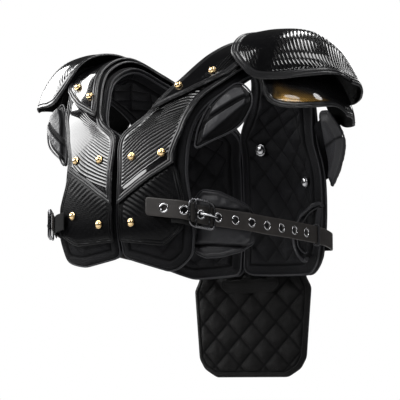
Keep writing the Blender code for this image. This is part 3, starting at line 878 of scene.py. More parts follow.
def finish_cloth(name, colour, pitch, roughness, mottle=0.35, shine=0.06, coat=0.0):
    """A tight plain weave, a little paler where it has rubbed, dull where sunk, and darkened there
    with painted shade.
    """
    recipe = Recipe(name, Coat_Roughness=0.54, Specular_IOR_Level=shine)
    p, q = recipe.flat()
    weave = p.wave(pitch) * q.wave(pitch)
    rubbed = recipe.between(recipe.noise(24.0, 4.0, 0.6), 0.32, 0.70)
    pale = tinted(colour, 1 + 1.6 * mottle)
    base = recipe.colours(rubbed, tinted(colour, 1 - mottle), pale)
    base = recipe.colours(weave * 0.15 + 0.15, base, pale)
    # Painted shade: where sunk, the cloth's colour is darkened and its coat taken off.
    low = recipe.stored("sunk_painted_shade") * 0.9
    wrinkle = recipe.bump(recipe.noise(55.0, 4.0, 0.55), 0.0009)
    recipe.feed(
        Base_Color=recipe.colours(low, base, PAINTED_SHADE_COLOUR),
        Roughness=recipe.noise(75.0, 3.0) * 0.16 - 0.08 + low * 0.35 + roughness,
        Coat_Weight=(1.0 - low) * coat, Normal=recipe.bump(weave, 0.00009, wrinkle),
    )
    return recipe.material


def finish_piping(name, colour):
    """Smooth coated cord round the padding's borders."""
    recipe = Recipe(name, Coat_Weight=0.06, Coat_Roughness=0.3, Specular_IOR_Level=0.10)
    grain = recipe.noise(420.0, 3.0)
    recipe.feed(
        Base_Color=recipe.colours(grain, colour, tinted(colour, 1.8)),
        Roughness=0.42 + grain * 0.12, Normal=recipe.bump(grain, 0.00010),
    )
    return recipe.material


def finish_leather(name, colour):
    """Belt leather: pebbled grain, paler and smoother along its edges."""
    recipe = Recipe(name, Coat_Weight=0.05, Coat_Roughness=0.4, Specular_IOR_Level=0.2)
    pebbles = recipe.node(
        "ShaderNodeTexVoronoi", {"feature": "SMOOTH_F1"},
        {"Vector": recipe.body(), "Scale": 900.0, "Smoothness": 0.4},
    )
    cloud = recipe.noise(60.0, 4.0, 0.6)
    edge = recipe.between(recipe.stored("inward"), 0.0004, 0.0016, 1.0, 0.0)
    base = recipe.colours(recipe.between(cloud, 0.3, 0.7), colour, tinted(colour, 1.6))
    recipe.feed(
        Base_Color=recipe.colours(edge * 0.6, base, tinted(colour, 2.4)),
        Roughness=0.58 + pebbles * 0.12 - edge * 0.12,
        Normal=recipe.bump(pebbles + cloud * 0.5, 0.00018),
    )
    return recipe.material


def finish_webbing(name, colour):
    """Ribbed strap webbing."""
    recipe = Recipe(name, Specular_IOR_Level=0.12)
    p, q = recipe.flat()
    ribs = p.wave(0.0016) * 0.5 + 0.5
    cross = q.wave(0.0024) * 0.5 + 0.5
    weave = ribs * 0.7 + cross * 0.3
    recipe.feed(
        Base_Color=recipe.colours(weave, colour, tinted(colour, 2)),
        Roughness=0.78 + weave * 0.1, Normal=recipe.bump(weave, 0.0002),
    )
    return recipe.material


def finish_metal(name, colour, low, high):
    """Polished metal with faint handling marks."""
    recipe = Recipe(name, Metallic=1.0)
    marks = recipe.noise(350.0, 5.0, 0.6)
    recipe.feed(
        Base_Color=recipe.colours(marks, tinted(colour, 0.82), colour),
        Roughness=recipe.between(marks, 0.35, 0.7, low, high),
        Normal=recipe.bump(marks, 0.00002),
    )
    return recipe.material


FINISHES = {}


def make_finishes(colours):
    """Every finish, by its name."""
    for name, recipe, colour, *more in (
        ("body_padding", finish_cloth, colours.padding, 0.0009, 0.55),
        ("limb_padding", finish_cloth, colours.limbs, 0.0008, 0.50, 0.15, 0.06, 0.60),
        ("quilted_flap", finish_cloth, colours.flap, 0.0009, 0.52, 0.35, 0.07),
        ("piping", finish_piping, colours.piping),
        ("belt_leather", finish_leather, colours.belt),
        ("webbing", finish_webbing, colours.webbing),
        ("gold_rivet", finish_metal, colours.gold, 0.14, 0.26),
        ("dark_chrome", finish_metal, colours.chrome, 0.12, 0.24),
        ("snap_metal", finish_metal, colours.snap, 0.22, 0.34),
        ("black_buckle", finish_metal, colours.buckle, 0.16, 0.30),
    ):
        FINISHES[name] = recipe(name, colour, *more)
    FINISHES["gloss_shell"] = finish_gloss_shell(colours)
    FINISHES["dark_shell"] = finish_carbon(colours)


# ------------------------------------------------------------- sizes, colours
def colour_property(name, description, default):
    return bpy.props.FloatVectorProperty(
        name=name, description=description, default=default, subtype="COLOR",
        size=3, min=0.0, max=1.0,
    )


def length_property(name, description, default):
    return bpy.props.FloatProperty(
        name=name, description=description, default=default, unit="LENGTH", min=0.0, precision=5
    )


class PadsSizes(bpy.types.PropertyGroup):
    """Sizes of the relief, the quilting and the trim."""

    rib_height: length_property("Rib height", "Height of the arch plates' ribs", 0.0014)
    cap_rib_height: length_property("Cap rib height", "Height of the caps' fine ribs", 0.0006)
    chest_rib_pitch: length_property("Chest rib pitch", "Between ribs on the chest plates", 0.0058)
    quilt_width: length_property("Quilt width", "Width of one quilted diamond", 0.0423)
    quilt_height: length_property("Quilt height", "Height of one quilted diamond", 0.0424)
    quilt_depth: length_property("Quilt depth", "How deep the quilting is drawn in", 0.0056)
    piping: length_property("Piping", "Radius of the piping cord", 0.0013)
    eyelet: length_property("Eyelet", "Radius of an eyelet's ring", 0.0053)
    eyelet_wire: length_property("Eyelet wire", "Half the width of an eyelet's ring", 0.0011)
    floor_height: length_property("Floor drop", "Height of the floor below the origin", 0.70)


class PadsColours(bpy.types.PropertyGroup):
    """Colours of the finishes."""

    shell: colour_property("Shell", "Gloss shell", (0.0013, 0.0013, 0.0015))
    carbon: colour_property("Lower shell", "Woven lower shell", (0.0009, 0.0009, 0.0011))
    padding: colour_property("Body padding", "Cloth of the body padding", (0.0030, 0.0030, 0.0036))
    limbs: colour_property("Limb padding", "Cloth of the limb pads", (0.0060, 0.0060, 0.0078))
    flap: colour_property("Flap", "Cloth of the back flap", (0.0024, 0.0023, 0.0023))
    piping: colour_property("Piping", "Coated cord", (0.0105, 0.0105, 0.0118))
    belt: colour_property("Belt", "Belt leather", (0.0105, 0.0092, 0.0086))
    webbing: colour_property("Webbing", "Strap webbing", (0.0035, 0.0035, 0.0036))
    gold: colour_property("Gold", "Rivets", (0.66, 0.48, 0.25))
    # Painted reflection: the gold tint on the under caps stands in for a warm reflection.
    painted_gold_reflection: colour_property("Gold fade", "Fade on the under caps", (0.13, 0.074, 0.017))
    chrome: colour_property("Dark chrome", "Eyelets and prongs", (0.42, 0.42, 0.43))
    snap: colour_property("Snap", "Snaps on the liner", (0.34, 0.34, 0.35))
    buckle: colour_property("Buckle", "Black plated buckle", (0.10, 0.10, 0.105))
    floor: colour_property("Floor", "Studio floor", (0.62, 0.62, 0.62))


def sizes():
    return bpy.context.scene.pads_sizes


# -------------------------------------------------------------------- padding
def quilt(p, q):
    """Diamond pillows: 1 on a pillow's crown, 0 along its stitched channels."""
    p = p / sizes().quilt_width
    q = q / sizes().quilt_height
    first, second = (np.abs(np.sin(np.pi * lines)) for lines in (p + q, p - q))
    return np.minimum(first, second) ** 0.55 * 0.6 + (first * second) ** 0.5 * 0.4


def piped(name, pad, lay, side, heights, out=0.4):
    """The pad with cords along its free border, at each of these heights."""
    radius = sizes().piping
    parts = [pad]
    way = lay.outwards()
    row, column = lay.loop()
    order = np.arange(len(row))
    if not lay.ends[1]:
        order = np.roll(order, lay.rows)[:-lay.columns + 1]
    elif not lay.ends[0]:
        order = np.append(order[lay.columns:], 0)
    for height in heights:
        line = (lay.at(height) + way * radius * out)[row, column][order]
        path = on_side(even(line, CORD_PITCH, all(lay.ends)), side)
        cord = make_tube(name + "_piping", path, radius, all(lay.ends))
        parts.append(dress(cord, "piping"))
    return join(name, *parts)


def thinned(thick, edge, reach):
    """A pad's thickness, which falls off within this reach of its edge."""
    return thick * (PAD_EDGE + (1 - PAD_EDGE) * smooth(0.0, reach, edge))


def make_body_pad(name, rows, side, length, width, ends):
    """One body pad: flat under its plates, rolled at its edge, quilted inside."""
    bed = lay(
        shoulder, rows, length, width, 0.0024, rim=0.016, rim_pitch=0.0014,
        corner=0.012, ends=ends,
    )
    outer = PAD_FACE + stepped(PAD_RIM, bed.edge)
    inside = smooth(0.014, 0.022, bed.edge)
    pillows = quilt(bed.p, bed.q)
    thick = thinned(PAD, bed.edge, 0.018) + inside * sizes().quilt_depth * (pillows - 0.75)
    thick = thick - 0.0034 * groove(bed.edge - 0.0130, 0.0020)
    thick = thick + 0.0014 * groove(bed.edge - 0.0075, 0.0034)
    # Painted shade: the quilting's channels and the groove inside the rolled border are darkened
    # in the cloth.
    seams = inside * smooth(0.42, 0.10, pillows)
    marks = {"sunk_painted_shade": np.maximum(seams, groove(bed.edge - 0.0130, 0.0016))}
    pad = make_slab(name, bed, side, outer, PAD_FACE - thick, 0.0008, facets=60, marks=marks)
    dress(pad, "body_padding")
    heights = (PAD_FACE - 0.0024, PAD_FACE - PAD * PAD_EDGE + 0.0004)
    pad = piped(name, pad, bed, side, heights, out=0.6)
    settle(pad, [name])


def in_order(slab):
    """Give a slab's points and faces an order that only their places decide.

    A simulation adds up in this order, so it gives the same result each run.
    Its points' weights are returned in their new order.
    """
    old = slab.data
    spots = corners_of(old)
    order = np.lexsort(spots.T)
    rank = np.empty(len(order), int)
    rank[order] = np.arange(len(order))
    faces = [[int(rank[corner]) for corner in face.vertices] for face in old.polygons]
    faces = sorted(face[face.index(min(face)):] + face[:face.index(min(face))] for face in faces)
    held = np.empty(len(order))
    old.attributes["held"].data.foreach_get("value", held)
    slab.data = bpy.data.meshes.new("cloth")
    slab.data.from_pydata(spots[order].tolist(), [], faces)
    return held[order]


def puffed(bed, coarse, outer, inner, held, limits):
    """How far a filled pad's cloth bellies out between its seams, by cloth simulation.

    coarse is a loose grid over the same outline as bed. Its slab starts at the
    heights outer and inner, is held where held is 1, and is blown out. The way
    its outer skin went is read back onto bed, and kept within the limits.
    """
    scene = bpy.context.scene
    slab = make_slab("cloth", coarse, 1, outer, inner, rings=2, marks={"held": held})
    weights = in_order(slab)
    start = corners_of(slab.data)
    group = slab.vertex_groups.new(name="held")
    for index, weight in enumerate(weights):
        group.add([index], weight, "REPLACE")
    cloth = slab.modifiers.new("cloth", "CLOTH")
    for setting, value in {
        "vertex_group_mass": "held", "mass": 0.002, "quality": 6, "tension_stiffness": 5,
        "compression_stiffness": 5, "bending_stiffness": 0.05, "shrink_min": -0.025,
        "use_pressure": True, "uniform_pressure_force": CLOTH_PRESSURE,
    }.items():
        setattr(cloth.settings, setting, value)
    cloth.settings.effector_weights.gravity = 0
    cloth.collision_settings.use_collision = False
    for frame in range(1, CLOTH_FRAMES + 1):
        scene.frame_set(frame)
    blown = slab.evaluated_get(bpy.context.evaluated_depsgraph_get()).to_mesh()
    moved = corners_of(blown) - start
    bpy.data.objects.remove(slab)
    scene.frame_set(1)
    tree = tree_of(start)
    twin = [tree.find(point)[1] for point in coarse.at(outer).reshape(-1, 3)]
    went = (moved[twin] * coarse.normals.reshape(-1, 3)).sum(axis=1)
    tree = tree_of(coarse.points.reshape(-1, 3))
    read = np.empty(bed.p.size)
    for place, point in enumerate(bed.points.reshape(-1, 3)):
        near = tree.find_n(point, 9)
        weights = np.array([math.exp(-(gap / 0.0028) ** 2) + 1e-9 for _, _, gap in near])
        read[place] = went[[index for _, index, _ in near]] @ weights / weights.sum()
    return read.reshape(bed.p.shape).clip(*limits)


def make_limb_pad(name, surface, rows, side, length, width, panels):
    """One limb pad: a piped border round raised panels."""
    whole = {"corner": 0.010, "soften": 14}
    bed = lay(surface, rows, length, width, 0.0013, rim=0.008, rim_pitch=0.0009, **whole)
    # The panels' mask sinks the channels and the border, and the cloth there is darkened with
    # painted shade.
    sunk_painted_shade = panels(bed, side)
    coarse = lay(surface, rows, length, width, CLOTH_PITCH, **whole)
    low = panels(coarse, side)
    held = np.maximum(low, smooth(0.0075, 0.0045, coarse.edge))
    belly = puffed(bed, coarse, -0.0010 - 0.0030 * low, -LIMB_PAD * 0.8, held, LIMB_BELLY)
    outer = stepped(CUSHION_RIM, bed.edge) - 0.0040 * sunk_painted_shade + belly
    inner = -thinned(LIMB_PAD, bed.edge, 0.012)
    pad = make_slab(name, bed, side, outer, inner, 0.0010, facets=70, marks={"sunk_painted_shade": sunk_painted_shade})
    dress(pad, "limb_padding")
    pad = piped(name, pad, bed, side, (-0.0030,))
    settle(pad, [name])


def make_gusset(side_name, side):
    """A cloth gusset from a back pad's outer edge to the rear deltoid pad."""
    rear = stations_surface(DELTOID_REAR)

    def place(along, across):
        pad = spot(9.75 + 1.45 * along, 0.97 + 0 * along, PAD_FACE - PAD * 0.35)[0]
        limb = spot(0.35 + 3.25 * along, 0.16 + 0 * along, -LIMB_PAD * 0.45, rear)[0]
        sag = np.sin(np.pi * across)[..., None] * (-0.0015, 0.0, 0.0)
        return pad + (limb - pad) * across[..., None] + sag

    whole = ((0, 0, 0, 1), (1, 0, 1, 1))
    bed = lay(surface_of(place), whole, 0.105, 0.02, 0.0022, soften=0)
    gusset = make_slab(f"gusset_{side_name}", bed, side, 0.0008, -0.0008, 0.0003, facets=60)
    settle(dress(gusset, "body_padding"))


def front_panels(bed, side):
    """Sunk between the two panels, under the lower one and round them both; the cloth there also
    gets painted shade.
    """
    table = np.array(PANELS)
    shift = 0.0 if side > 0 else -0.22
    high, middle, low = (
        np.interp(bed.across, table[:, 0], column) + shift for column in table[:, 1:].T
    )
    channel = smooth(-0.03, 0.03, bed.along - middle) * smooth(-0.03, 0.03, high - bed.along)
    below = smooth(-0.03, 0.03, low - bed.along)
    border = smooth(0.0100, 0.0082, bed.edge)
    return np.maximum(np.maximum(channel, below), border * 0.75)


def rear_panels(bed, side):
    line = 2.2 - 0.6 * bed.across
    return groove((bed.along - line) * 0.026, 0.0032)


def rib_panels(bed, side):
    return groove(bed.along + 0.205, 0.0022) * 0.6 + groove(bed.along + 0.252, 0.0022)


# --------------------------------------------------------------------- shells
def make_plate(name, slot, bed, side, outer, inner, facets=40, marks=None):
    """A moulded plate in its place and its finish."""
    plate = make_slab(name, bed, side, outer, inner, PLATE_BULGE, facets=facets, marks=marks)
    settle(dress(plate, slot), [name])


def make_chest_plate(side_name, side):
    """A lower front plate, its ribs fanning out under the arch plate's edge."""
    hem = CHEST_PLATE[0] if side > 0 else CHEST_HEM_RIGHT
    rows = (hem,) + CHEST_PLATE[1:]
    bed = lay(shoulder, rows, 0.085, 0.095, 0.0011, rim=0.008, rim_pitch=0.0007, corner=0.006)
    ridge = (bed.p + bed.q) / (sizes().chest_rib_pitch * 1.4142)
    under = 1.43 + 0.8075 * (bed.across - 0.015) - bed.along
    near = smooth(0.55, 0.20, under) * smooth(0.0, 0.08, under)
    inside = smooth(0.008, 0.011, bed.edge)
    mask = near * inside * smooth(0.02, 0.12, bed.across) * smooth(0.86, 0.70, bed.across)
    mask = mask * (1.0 if side > 0 else 0.30)
    outer = LOWER_FACE + stepped(SHELL_RIM, bed.edge) * 0.7 * smooth(0.1, 0.3, under)
    outer = outer + mask * 0.0011 * (0.5 + 0.5 * np.sin(2 * np.pi * ridge))
    name = f"chest_plate_{side_name}"
    make_plate(name, "dark_shell", bed, side, outer, LOWER_FACE - PLATE)


def make_back_plate(side_name, side):
    """A lower back plate."""
    bed = lay(
        shoulder, BACK_PLATE, 0.13, 0.13, 0.0018, rim=0.008, rim_pitch=0.0008, corner=0.010
    )
    outer = LOWER_FACE + stepped(SHELL_RIM, bed.edge) * 0.8
    name = f"back_plate_{side_name}"
    make_plate(name, "dark_shell", bed, side, outer, LOWER_FACE - PLATE)


def rim_mark(bed, width=SHELL_RIM_WIDTH):
    """1 on a shell's moulded rim, 0 on its panel."""
    return smooth(width + 0.0012, width, bed.edge)


def rib_lines(ribs, numbers, shares):
    """How far along the shoulder each rib's line stands at each share across."""
    table = spline(ribs, np.interp(numbers, RIB_NUMBERS, range(len(ribs))))
    knots = np.interp(shares, RIB_SHARES, range(len(RIB_SHARES)))
    return np.array([
        spline(line[:, None], knot)[:, 0] for line, knot in zip(table, knots)
    ])


def arch_bed(side):
    """The arch plate's grid, whose lines follow its ribs over the chest."""
    ribs = RIB_ZERO + (LEFT_RIBS if side > 0 else RIGHT_RIBS)
    neck, edge = ribs[-1][0], ribs[-1][-1]
    low = np.linspace(RIB_NUMBERS[0], -0.5, 22)[:-1]
    numbers = np.concatenate([low, np.arange(-0.5, LAST_RIB + 0.01, 1 / 6)])
    us = spaced(0.088, 0.0019, 0.008, 0.0008)
    table = np.array(ARCH_PLATE, float)
    over = np.linspace(0, 1, 170)[1:]
    over_in = neck + (ARCH_PLATE[-1][0] - neck) * over
    over_out = edge + (ARCH_PLATE[-1][2] - edge) * over
    rough = rib_lines(ribs, numbers, np.tile((0.0, 0.9), (len(numbers), 1)))
    along_in = np.concatenate([rough[:, 0], over_in])
    along_out = np.concatenate([rough[:, 1], over_out])
    across_in = np.interp(along_in, table[:, 0], table[:, 1])
    across_out = np.interp(along_out, table[:, 2], table[:, 3])
    across_out = softened([np.pad(across_out, 6, "edge")], 6)[0]
    across = between_sides(across_in, across_out, us)
    front = rib_lines(ribs, numbers, across[:len(numbers)])
    top = rib_lines(ribs, np.full(len(over), float(LAST_RIB)), across[len(numbers):])
    start = neck + (edge - neck) * us
    fading = 1 - smooth(0.0, 0.35, over)[:, None]
    rear = between_sides(over_in, over_out, us) + (top - start) * fading
    number = np.concatenate([numbers, LAST_RIB + over * 60])
    bed = Lay(shoulder, np.concatenate([front, rear]), across)
    return bed, number[:, None] + np.zeros_like(across)


def make_arch_plate(side_name, side):
    """An arch plate over the shoulder, ribbed over the chest."""
    bed, number = arch_bed(side)
    inside = smooth(0.0080, 0.0105, bed.edge)
    mask = smooth(-0.2, 0.3, number) * smooth(22.0, 20.0, number)
    if side > 0:
        mask = mask * smooth(0.90, 0.80, bed.across)
    else:
        mask = mask * smooth(0.60, 0.28, bed.across - 0.03 * (12 - number).clip(0, 12))
    ribs = 0.5 + 0.5 * np.cos(2 * np.pi * number)
    relief = mask * inside
    height = sizes().rib_height * (1.0 if side > 0 else 0.30)
    outer = ARCH_FACE + stepped(SHELL_RIM, bed.edge) + relief * height * (ribs - 0.6)
    fine = smooth(26.0, 32.0, number) * inside * 0.45
    make_plate(
        f"arch_plate_{side_name}", "gloss_shell", bed, side, outer, ARCH_FACE - PLATE, 75,
        {
            "ridge": np.where(number < 24.0, number, bed.q / 0.0040),
            "relief": relief * (0.9 if side > 0 else 0.55) + fine, "rim": rim_mark(bed),
        },
    )


def make_epaulette(side_name, side):
    """An epaulette: a wedge-ended plate over the arch plate, finely ribbed outside."""
    bed = lay(
        shoulder, EPAULETTE, 0.30, 0.062, 0.0018, rim=0.008, rim_pitch=0.0008, soften=6,
        fine=0.0009,
    )
    ridge = bed.p / 0.0042 + bed.q / 0.0120
    mask = smooth(0.0085, 0.0110, bed.edge) * smooth(0.40, 0.56, bed.across)
    mask = mask * smooth(0.055, 0.085, bed.q)
    outer = EPAULETTE_FACE + stepped(SHELL_RIM, bed.edge) * 1.1
    outer = outer + mask * sizes().cap_rib_height * 0.6 * np.cos(2 * np.pi * ridge)
    make_plate(
        f"epaulette_{side_name}", "gloss_shell", bed, side, outer, EPAULETTE_FACE - PLATE, 60,
        {"rim": rim_mark(bed), "ridge": ridge, "relief": mask * 0.9},
    )


def make_cap(name, table, whole, side, length, width, slope, pitch, ribbed, painted_gold_reflection):
    """A shoulder cap: a rimmed dome with fine ribs that run up over its panel."""
    bed = lay(
        dome_surface(table), whole, length, width, 0.0022, rim=0.012, rim_pitch=0.0009,
        soften=0, corner=0.018, fine=0.00095,
    )
    low = np.minimum(bed.along, 1 - bed.along)
    ridge = (bed.across + slope * low) / pitch
    broad = 1.35 if ribbed else 0.85
    inside = smooth(0.0078, 0.0100, bed.edge / broad)
    top = smooth(1.30, 1.00, bed.across) * smooth(0.20, 0.12, low)
    top = top * smooth(0.15, 0.40, bed.across)
    mask = smooth(1.70, 1.95, bed.across + 0.5 * low) * smooth(4.95, 4.2, bed.across)
    mask = np.maximum(mask, top) * inside * ribbed
    outer = stepped(SHELL_RIM, bed.edge / broad) * 1.25
    outer = outer + mask * sizes().cap_rib_height * 0.5 * np.cos(2 * np.pi * ridge)
    # Painted reflection: a gold tint near the front rim, in place of a warm reflection.
    gold_reflection_mask = smooth(0.13, 0.03, bed.along) * smooth(1.1, 1.6, bed.across)
    gold_reflection_mask = gold_reflection_mask * smooth(4.3, 3.7, bed.across) * inside * painted_gold_reflection
    make_plate(
        name, "gloss_shell", bed, side, outer, -CAP_WALL, 60,
        {
            "ridge": ridge, "relief": mask + inside * (1 - ribbed) * 0.6,
            "rim": rim_mark(bed, SHELL_RIM_WIDTH * broad), "painted_gold_reflection": gold_reflection_mask,
        },
    )


# ---------------------------------------------------------------------- belts
def belt_points():
    """The belt's outer face, from its free end round the side to the back."""
    front = [spot(*place, BELT_LIFT)[0] for place in BELT_FRONT]
    back = [spot(*place, BELT_LIFT_BACK)[0] for place in BELT_BACK]
    return np.array(front + [np.array(point) for point in BELT_SIDE] + back)


def on_belt(points, place, along, up, out):
    """A point given from a place on the belt: along it, up it and off its face."""
    place = np.array(place, float)
    run = unit(spline(points, place + 0.05) - spline(points, place - 0.05))
    outward = unit(np.cross(run, (0, 0, 1)))
    return spline(points, place) + run * along + np.array((0, 0, 1)) * up + outward * out


def facing_way(outward):
    """The turn that points a new primitive's own z this way."""
    return Vector(outward).to_track_quat("Z", "Y").to_euler()


def make_strap(name, finish, points, width, thick, side, length, start=0.0,
               edge=(0, 0, 1), corner=0.0):
    """A flat strap whose outer face follows points, from a start to their end."""
    us = spaced(length, 0.0022, 0.004, 0.0008)
    vs = spaced(width, 0.0016, 0.0015, 0.0005)
    narrow = rounded(corner, np.minimum(vs, 1 - vs) * width)[:, None] / length
    across = start + (len(points) - 1 - start) * (narrow + (1 - 2 * narrow) * us)
    along = (vs * 2 - 1)[:, None] + np.zeros_like(across)
    bed = Lay(strap_surface(points, width, edge), along, across)
    worn = 0.0004 * smooth(0.0012, 0.0, bed.edge)
    strap = make_slab(name, bed, side, -worn, -thick + worn, 0.0002, facets=50)
    return dress(strap, finish)


def make_belt(side_name, side):
    """A side belt: eyeletted leather, its buckle, keeper and anchor strap."""
    size = sizes()
    points = belt_points()
    name = f"belt_{side_name}"
    start = BELT_START[side_name]
    belt = make_strap(
        name, "belt_leather", points, BELT_WIDTH, BELT_THICK, side,
        BELT_LONG - start * BELT_STEP, start=start, corner=0.004,
    )
    cutters = []
    rings = []
    for place in EYELETS:
        if place < start:
            continue
        centre = on_side(on_belt(points, place, 0, 0, 0), side)
        turn = facing_way(on_side(on_belt(points, place, 0, 0, 1), side) - centre)
        depth = 0.02 if place > EYELETS[0] else 2 * (BELT_THICK - 0.0005)
        select_only()
        bpy.ops.mesh.primitive_cylinder_add(
            vertices=24, radius=size.eyelet - size.eyelet_wire * 0.7, depth=depth,
            location=centre, rotation=turn,
        )
        cutters.append(bpy.context.object)
        select_only()
        bpy.ops.mesh.primitive_torus_add(
            major_radius=size.eyelet, minor_radius=size.eyelet_wire,
            major_segments=32, minor_segments=12, location=centre, rotation=turn,
        )
        ring = bpy.context.object
        ring.scale = (1, 1, 0.62)
        bpy.ops.object.transform_apply()
        rings.append(ring)
    cutter = join("eyelet_cutter", *cutters)
    select_only(belt)
    hole = belt.modifiers.new("eyelets", "BOOLEAN")
    hole.operation = "DIFFERENCE"
    hole.object = cutter
    hole.solver = "EXACT"
    bpy.ops.object.modifier_apply(modifier="eyelets")
    bpy.data.objects.remove(cutter)
    settle(belt, [name])
    eyelets = join(f"belt_eyelets_{side_name}", *rings)
    select_only(eyelets)
    bpy.ops.object.transform_apply()
    bpy.ops.object.shade_smooth()
    settle(dress(eyelets, "dark_chrome"))

    behind = -(BELT_THICK + ANCHOR_BEHIND)
    anchor = np.array([on_belt(points, place, 0, -ANCHOR_DROP, behind) for place in ANCHOR])
    name = f"anchor_strap_{side_name}"
    strap = make_strap(name, "webbing", anchor, BELT_WIDTH, ANCHOR_THICK, side, 0.05)
    settle(strap, [name])
    make_buckle(side_name, side, points)
    make_keeper(side_name, side, points)


def rounded_loop(corners, radius, steps=6):
    """A closed line through corners, each turned with a radius."""
    line = []
    for index, corner in enumerate(corners):
        before = corners[index - 1] - corner
        after = corners[(index + 1) % len(corners)] - corner
        start = corner + unit(before) * radius
        end = corner + unit(after) * radius
        for step in range(steps + 1):
            t = step / steps
            line.append(start * (1 - t) ** 2 + corner * 2 * t * (1 - t) + end * t ** 2)
    return np.array(line)


def make_buckle(side_name, side, points):
    """The buckle's wire loops, its bar, and the prong laid over it."""
    half_tall = (BUCKLE_TALL - BUCKLE_WIRE) / 2 + 0.0006
    radius = 0.0014
    out = radius + GAP

    def on_buckle(along, up, lift):
        return on_side(on_belt(points, BUCKLE_AT, along, up, lift), side)

    name = f"buckle_frame_{side_name}"
    parts = []
    for half_long, turn, lift in ((0.0180, 0.0085, 0.0), (0.0096, 0.0022, 2 * radius)):
        corners = [
            on_buckle(along * half_long, up * half_tall, out + lift)
            for along, up in ((1, -1), (1, 1), (-1, 1), (-1, -1))
        ]
        parts.append(make_tube(name, rounded_loop(corners, turn), radius, True, 5))
    settle(dress(join(name, *parts), "black_buckle"), [name])

    prong_radius = 0.0013
    over = 4 * radius + GAP + prong_radius + GAP
    prong_line = ((-0.004, over - 0.002), (0.006, over), (0.0135, over), (0.021, over - 0.003))
    path = [on_buckle(along, 0, lift) for along, lift in prong_line]
    places = np.linspace(0, 3, 22)
    name = f"buckle_prong_{side_name}"
    prong = make_tube(
        name, spline(path, places), prong_radius, sides=4,
        taper=np.interp(places, (0, 2.6, 3), (1, 1, 0.6)),
    )
    settle(dress(prong, "dark_chrome"), [name])


def make_roll(name, points, side, radius, taper=None):
    """A rolled border through points."""
    path = spline(points, np.linspace(0, len(points) - 1, 40))
    return dress(make_tube(name, on_side(path, side), radius, sides=5, taper=taper), "piping")


def make_slot_trim(side_name, side):
    """The rolled, piped ear round the belt's slot on a back pad's liner."""
    name = f"slot_trim_{side_name}"
    taper = 0.45 + 0.55 * np.sin(np.pi * np.linspace(0.08, 0.80, 40))
    parts = [
        make_roll(name, points, side, radius, taper)
        for points, radius in ((TRIM_ROLL, ROLL_RADIUS), (TRIM_PIPING, 0.0010))
    ]
    parts.append(make_strap(
        name, "piping", np.array(TRIM_TAB), 0.0075, 0.0014, side, 0.024, edge=(0.75, 0.62, 0.15)
    ))
    settle(join(name, *parts))


def make_slot_roll(side_name, side):
    """The rolled, piped border under the belt's slot on a back pad's liner."""
    name = f"slot_roll_{side_name}"
    parts = []
    for line, radius in ((LOWER_ROLL, ROLL_RADIUS), (LOWER_PIPING, 0.0011)):
        points = [spot(*place, LOWER_LIFT)[0] for place in line]
        parts.append(make_roll(name, points, side, radius))
    settle(join(name, *parts))


def make_keeper(side_name, side, points):
    """The loop that holds the belt's running end."""
    radius = 0.0016
    up = BELT_WIDTH / 2 + radius + GAP
    front = radius + GAP
    behind = -(BELT_THICK + radius + GAP)
    corners = [
        on_side(on_belt(points, KEEPER_AT, 0, height, out), side)
        for height, out in ((-up, front), (up, front), (up, behind), (-up, behind))
    ]
    name = f"belt_keeper_{side_name}"
    loop = make_tube(name, rounded_loop(corners, 0.0018), radius, True, 4)
    settle(dress(loop, "piping"), [name])


# ---------------------------------------------------------------------- studs
def make_stud(name, slot, finish, centre, outward, radius, rise):
    """A round-headed stud on a thin flange."""
    across = radius * 0.86
    select_only()
    bpy.ops.mesh.primitive_uv_sphere_add(segments=36, ring_count=18, radius=across)
    head = bpy.context.object
    with editing():
        bpy.ops.mesh.bisect(
            plane_co=(0, 0, 0), plane_no=(0, 0, 1), use_fill=True, clear_inner=True
        )
    head.scale = (1, 1, (rise - FLANGE / 2) / across)
    head.location = (0, 0, FLANGE / 2)
    select_only()
    bpy.ops.mesh.primitive_cylinder_add(
        vertices=36, radius=radius, depth=FLANGE, location=(0, 0, FLANGE / 2)
    )
    flange = bpy.context.object
    with editing():
        bpy.ops.mesh.bevel(offset=0.0004, segments=2)
    select_only(flange, head)
    bpy.ops.object.transform_apply()
    stud = join(name, head, flange)
    stud.location = centre
    stud.rotation_euler = facing_way(outward)
    select_only(stud)
    bpy.ops.object.transform_apply()
    bpy.ops.object.shade_smooth_by_angle(angle=math.radians(40))
    settle(dress(stud, finish), [name])


# ----------------------------------------------------------------------- flap
def flap_quilt(bed):
    return quilt(bed.across, bed.along + 0.342)


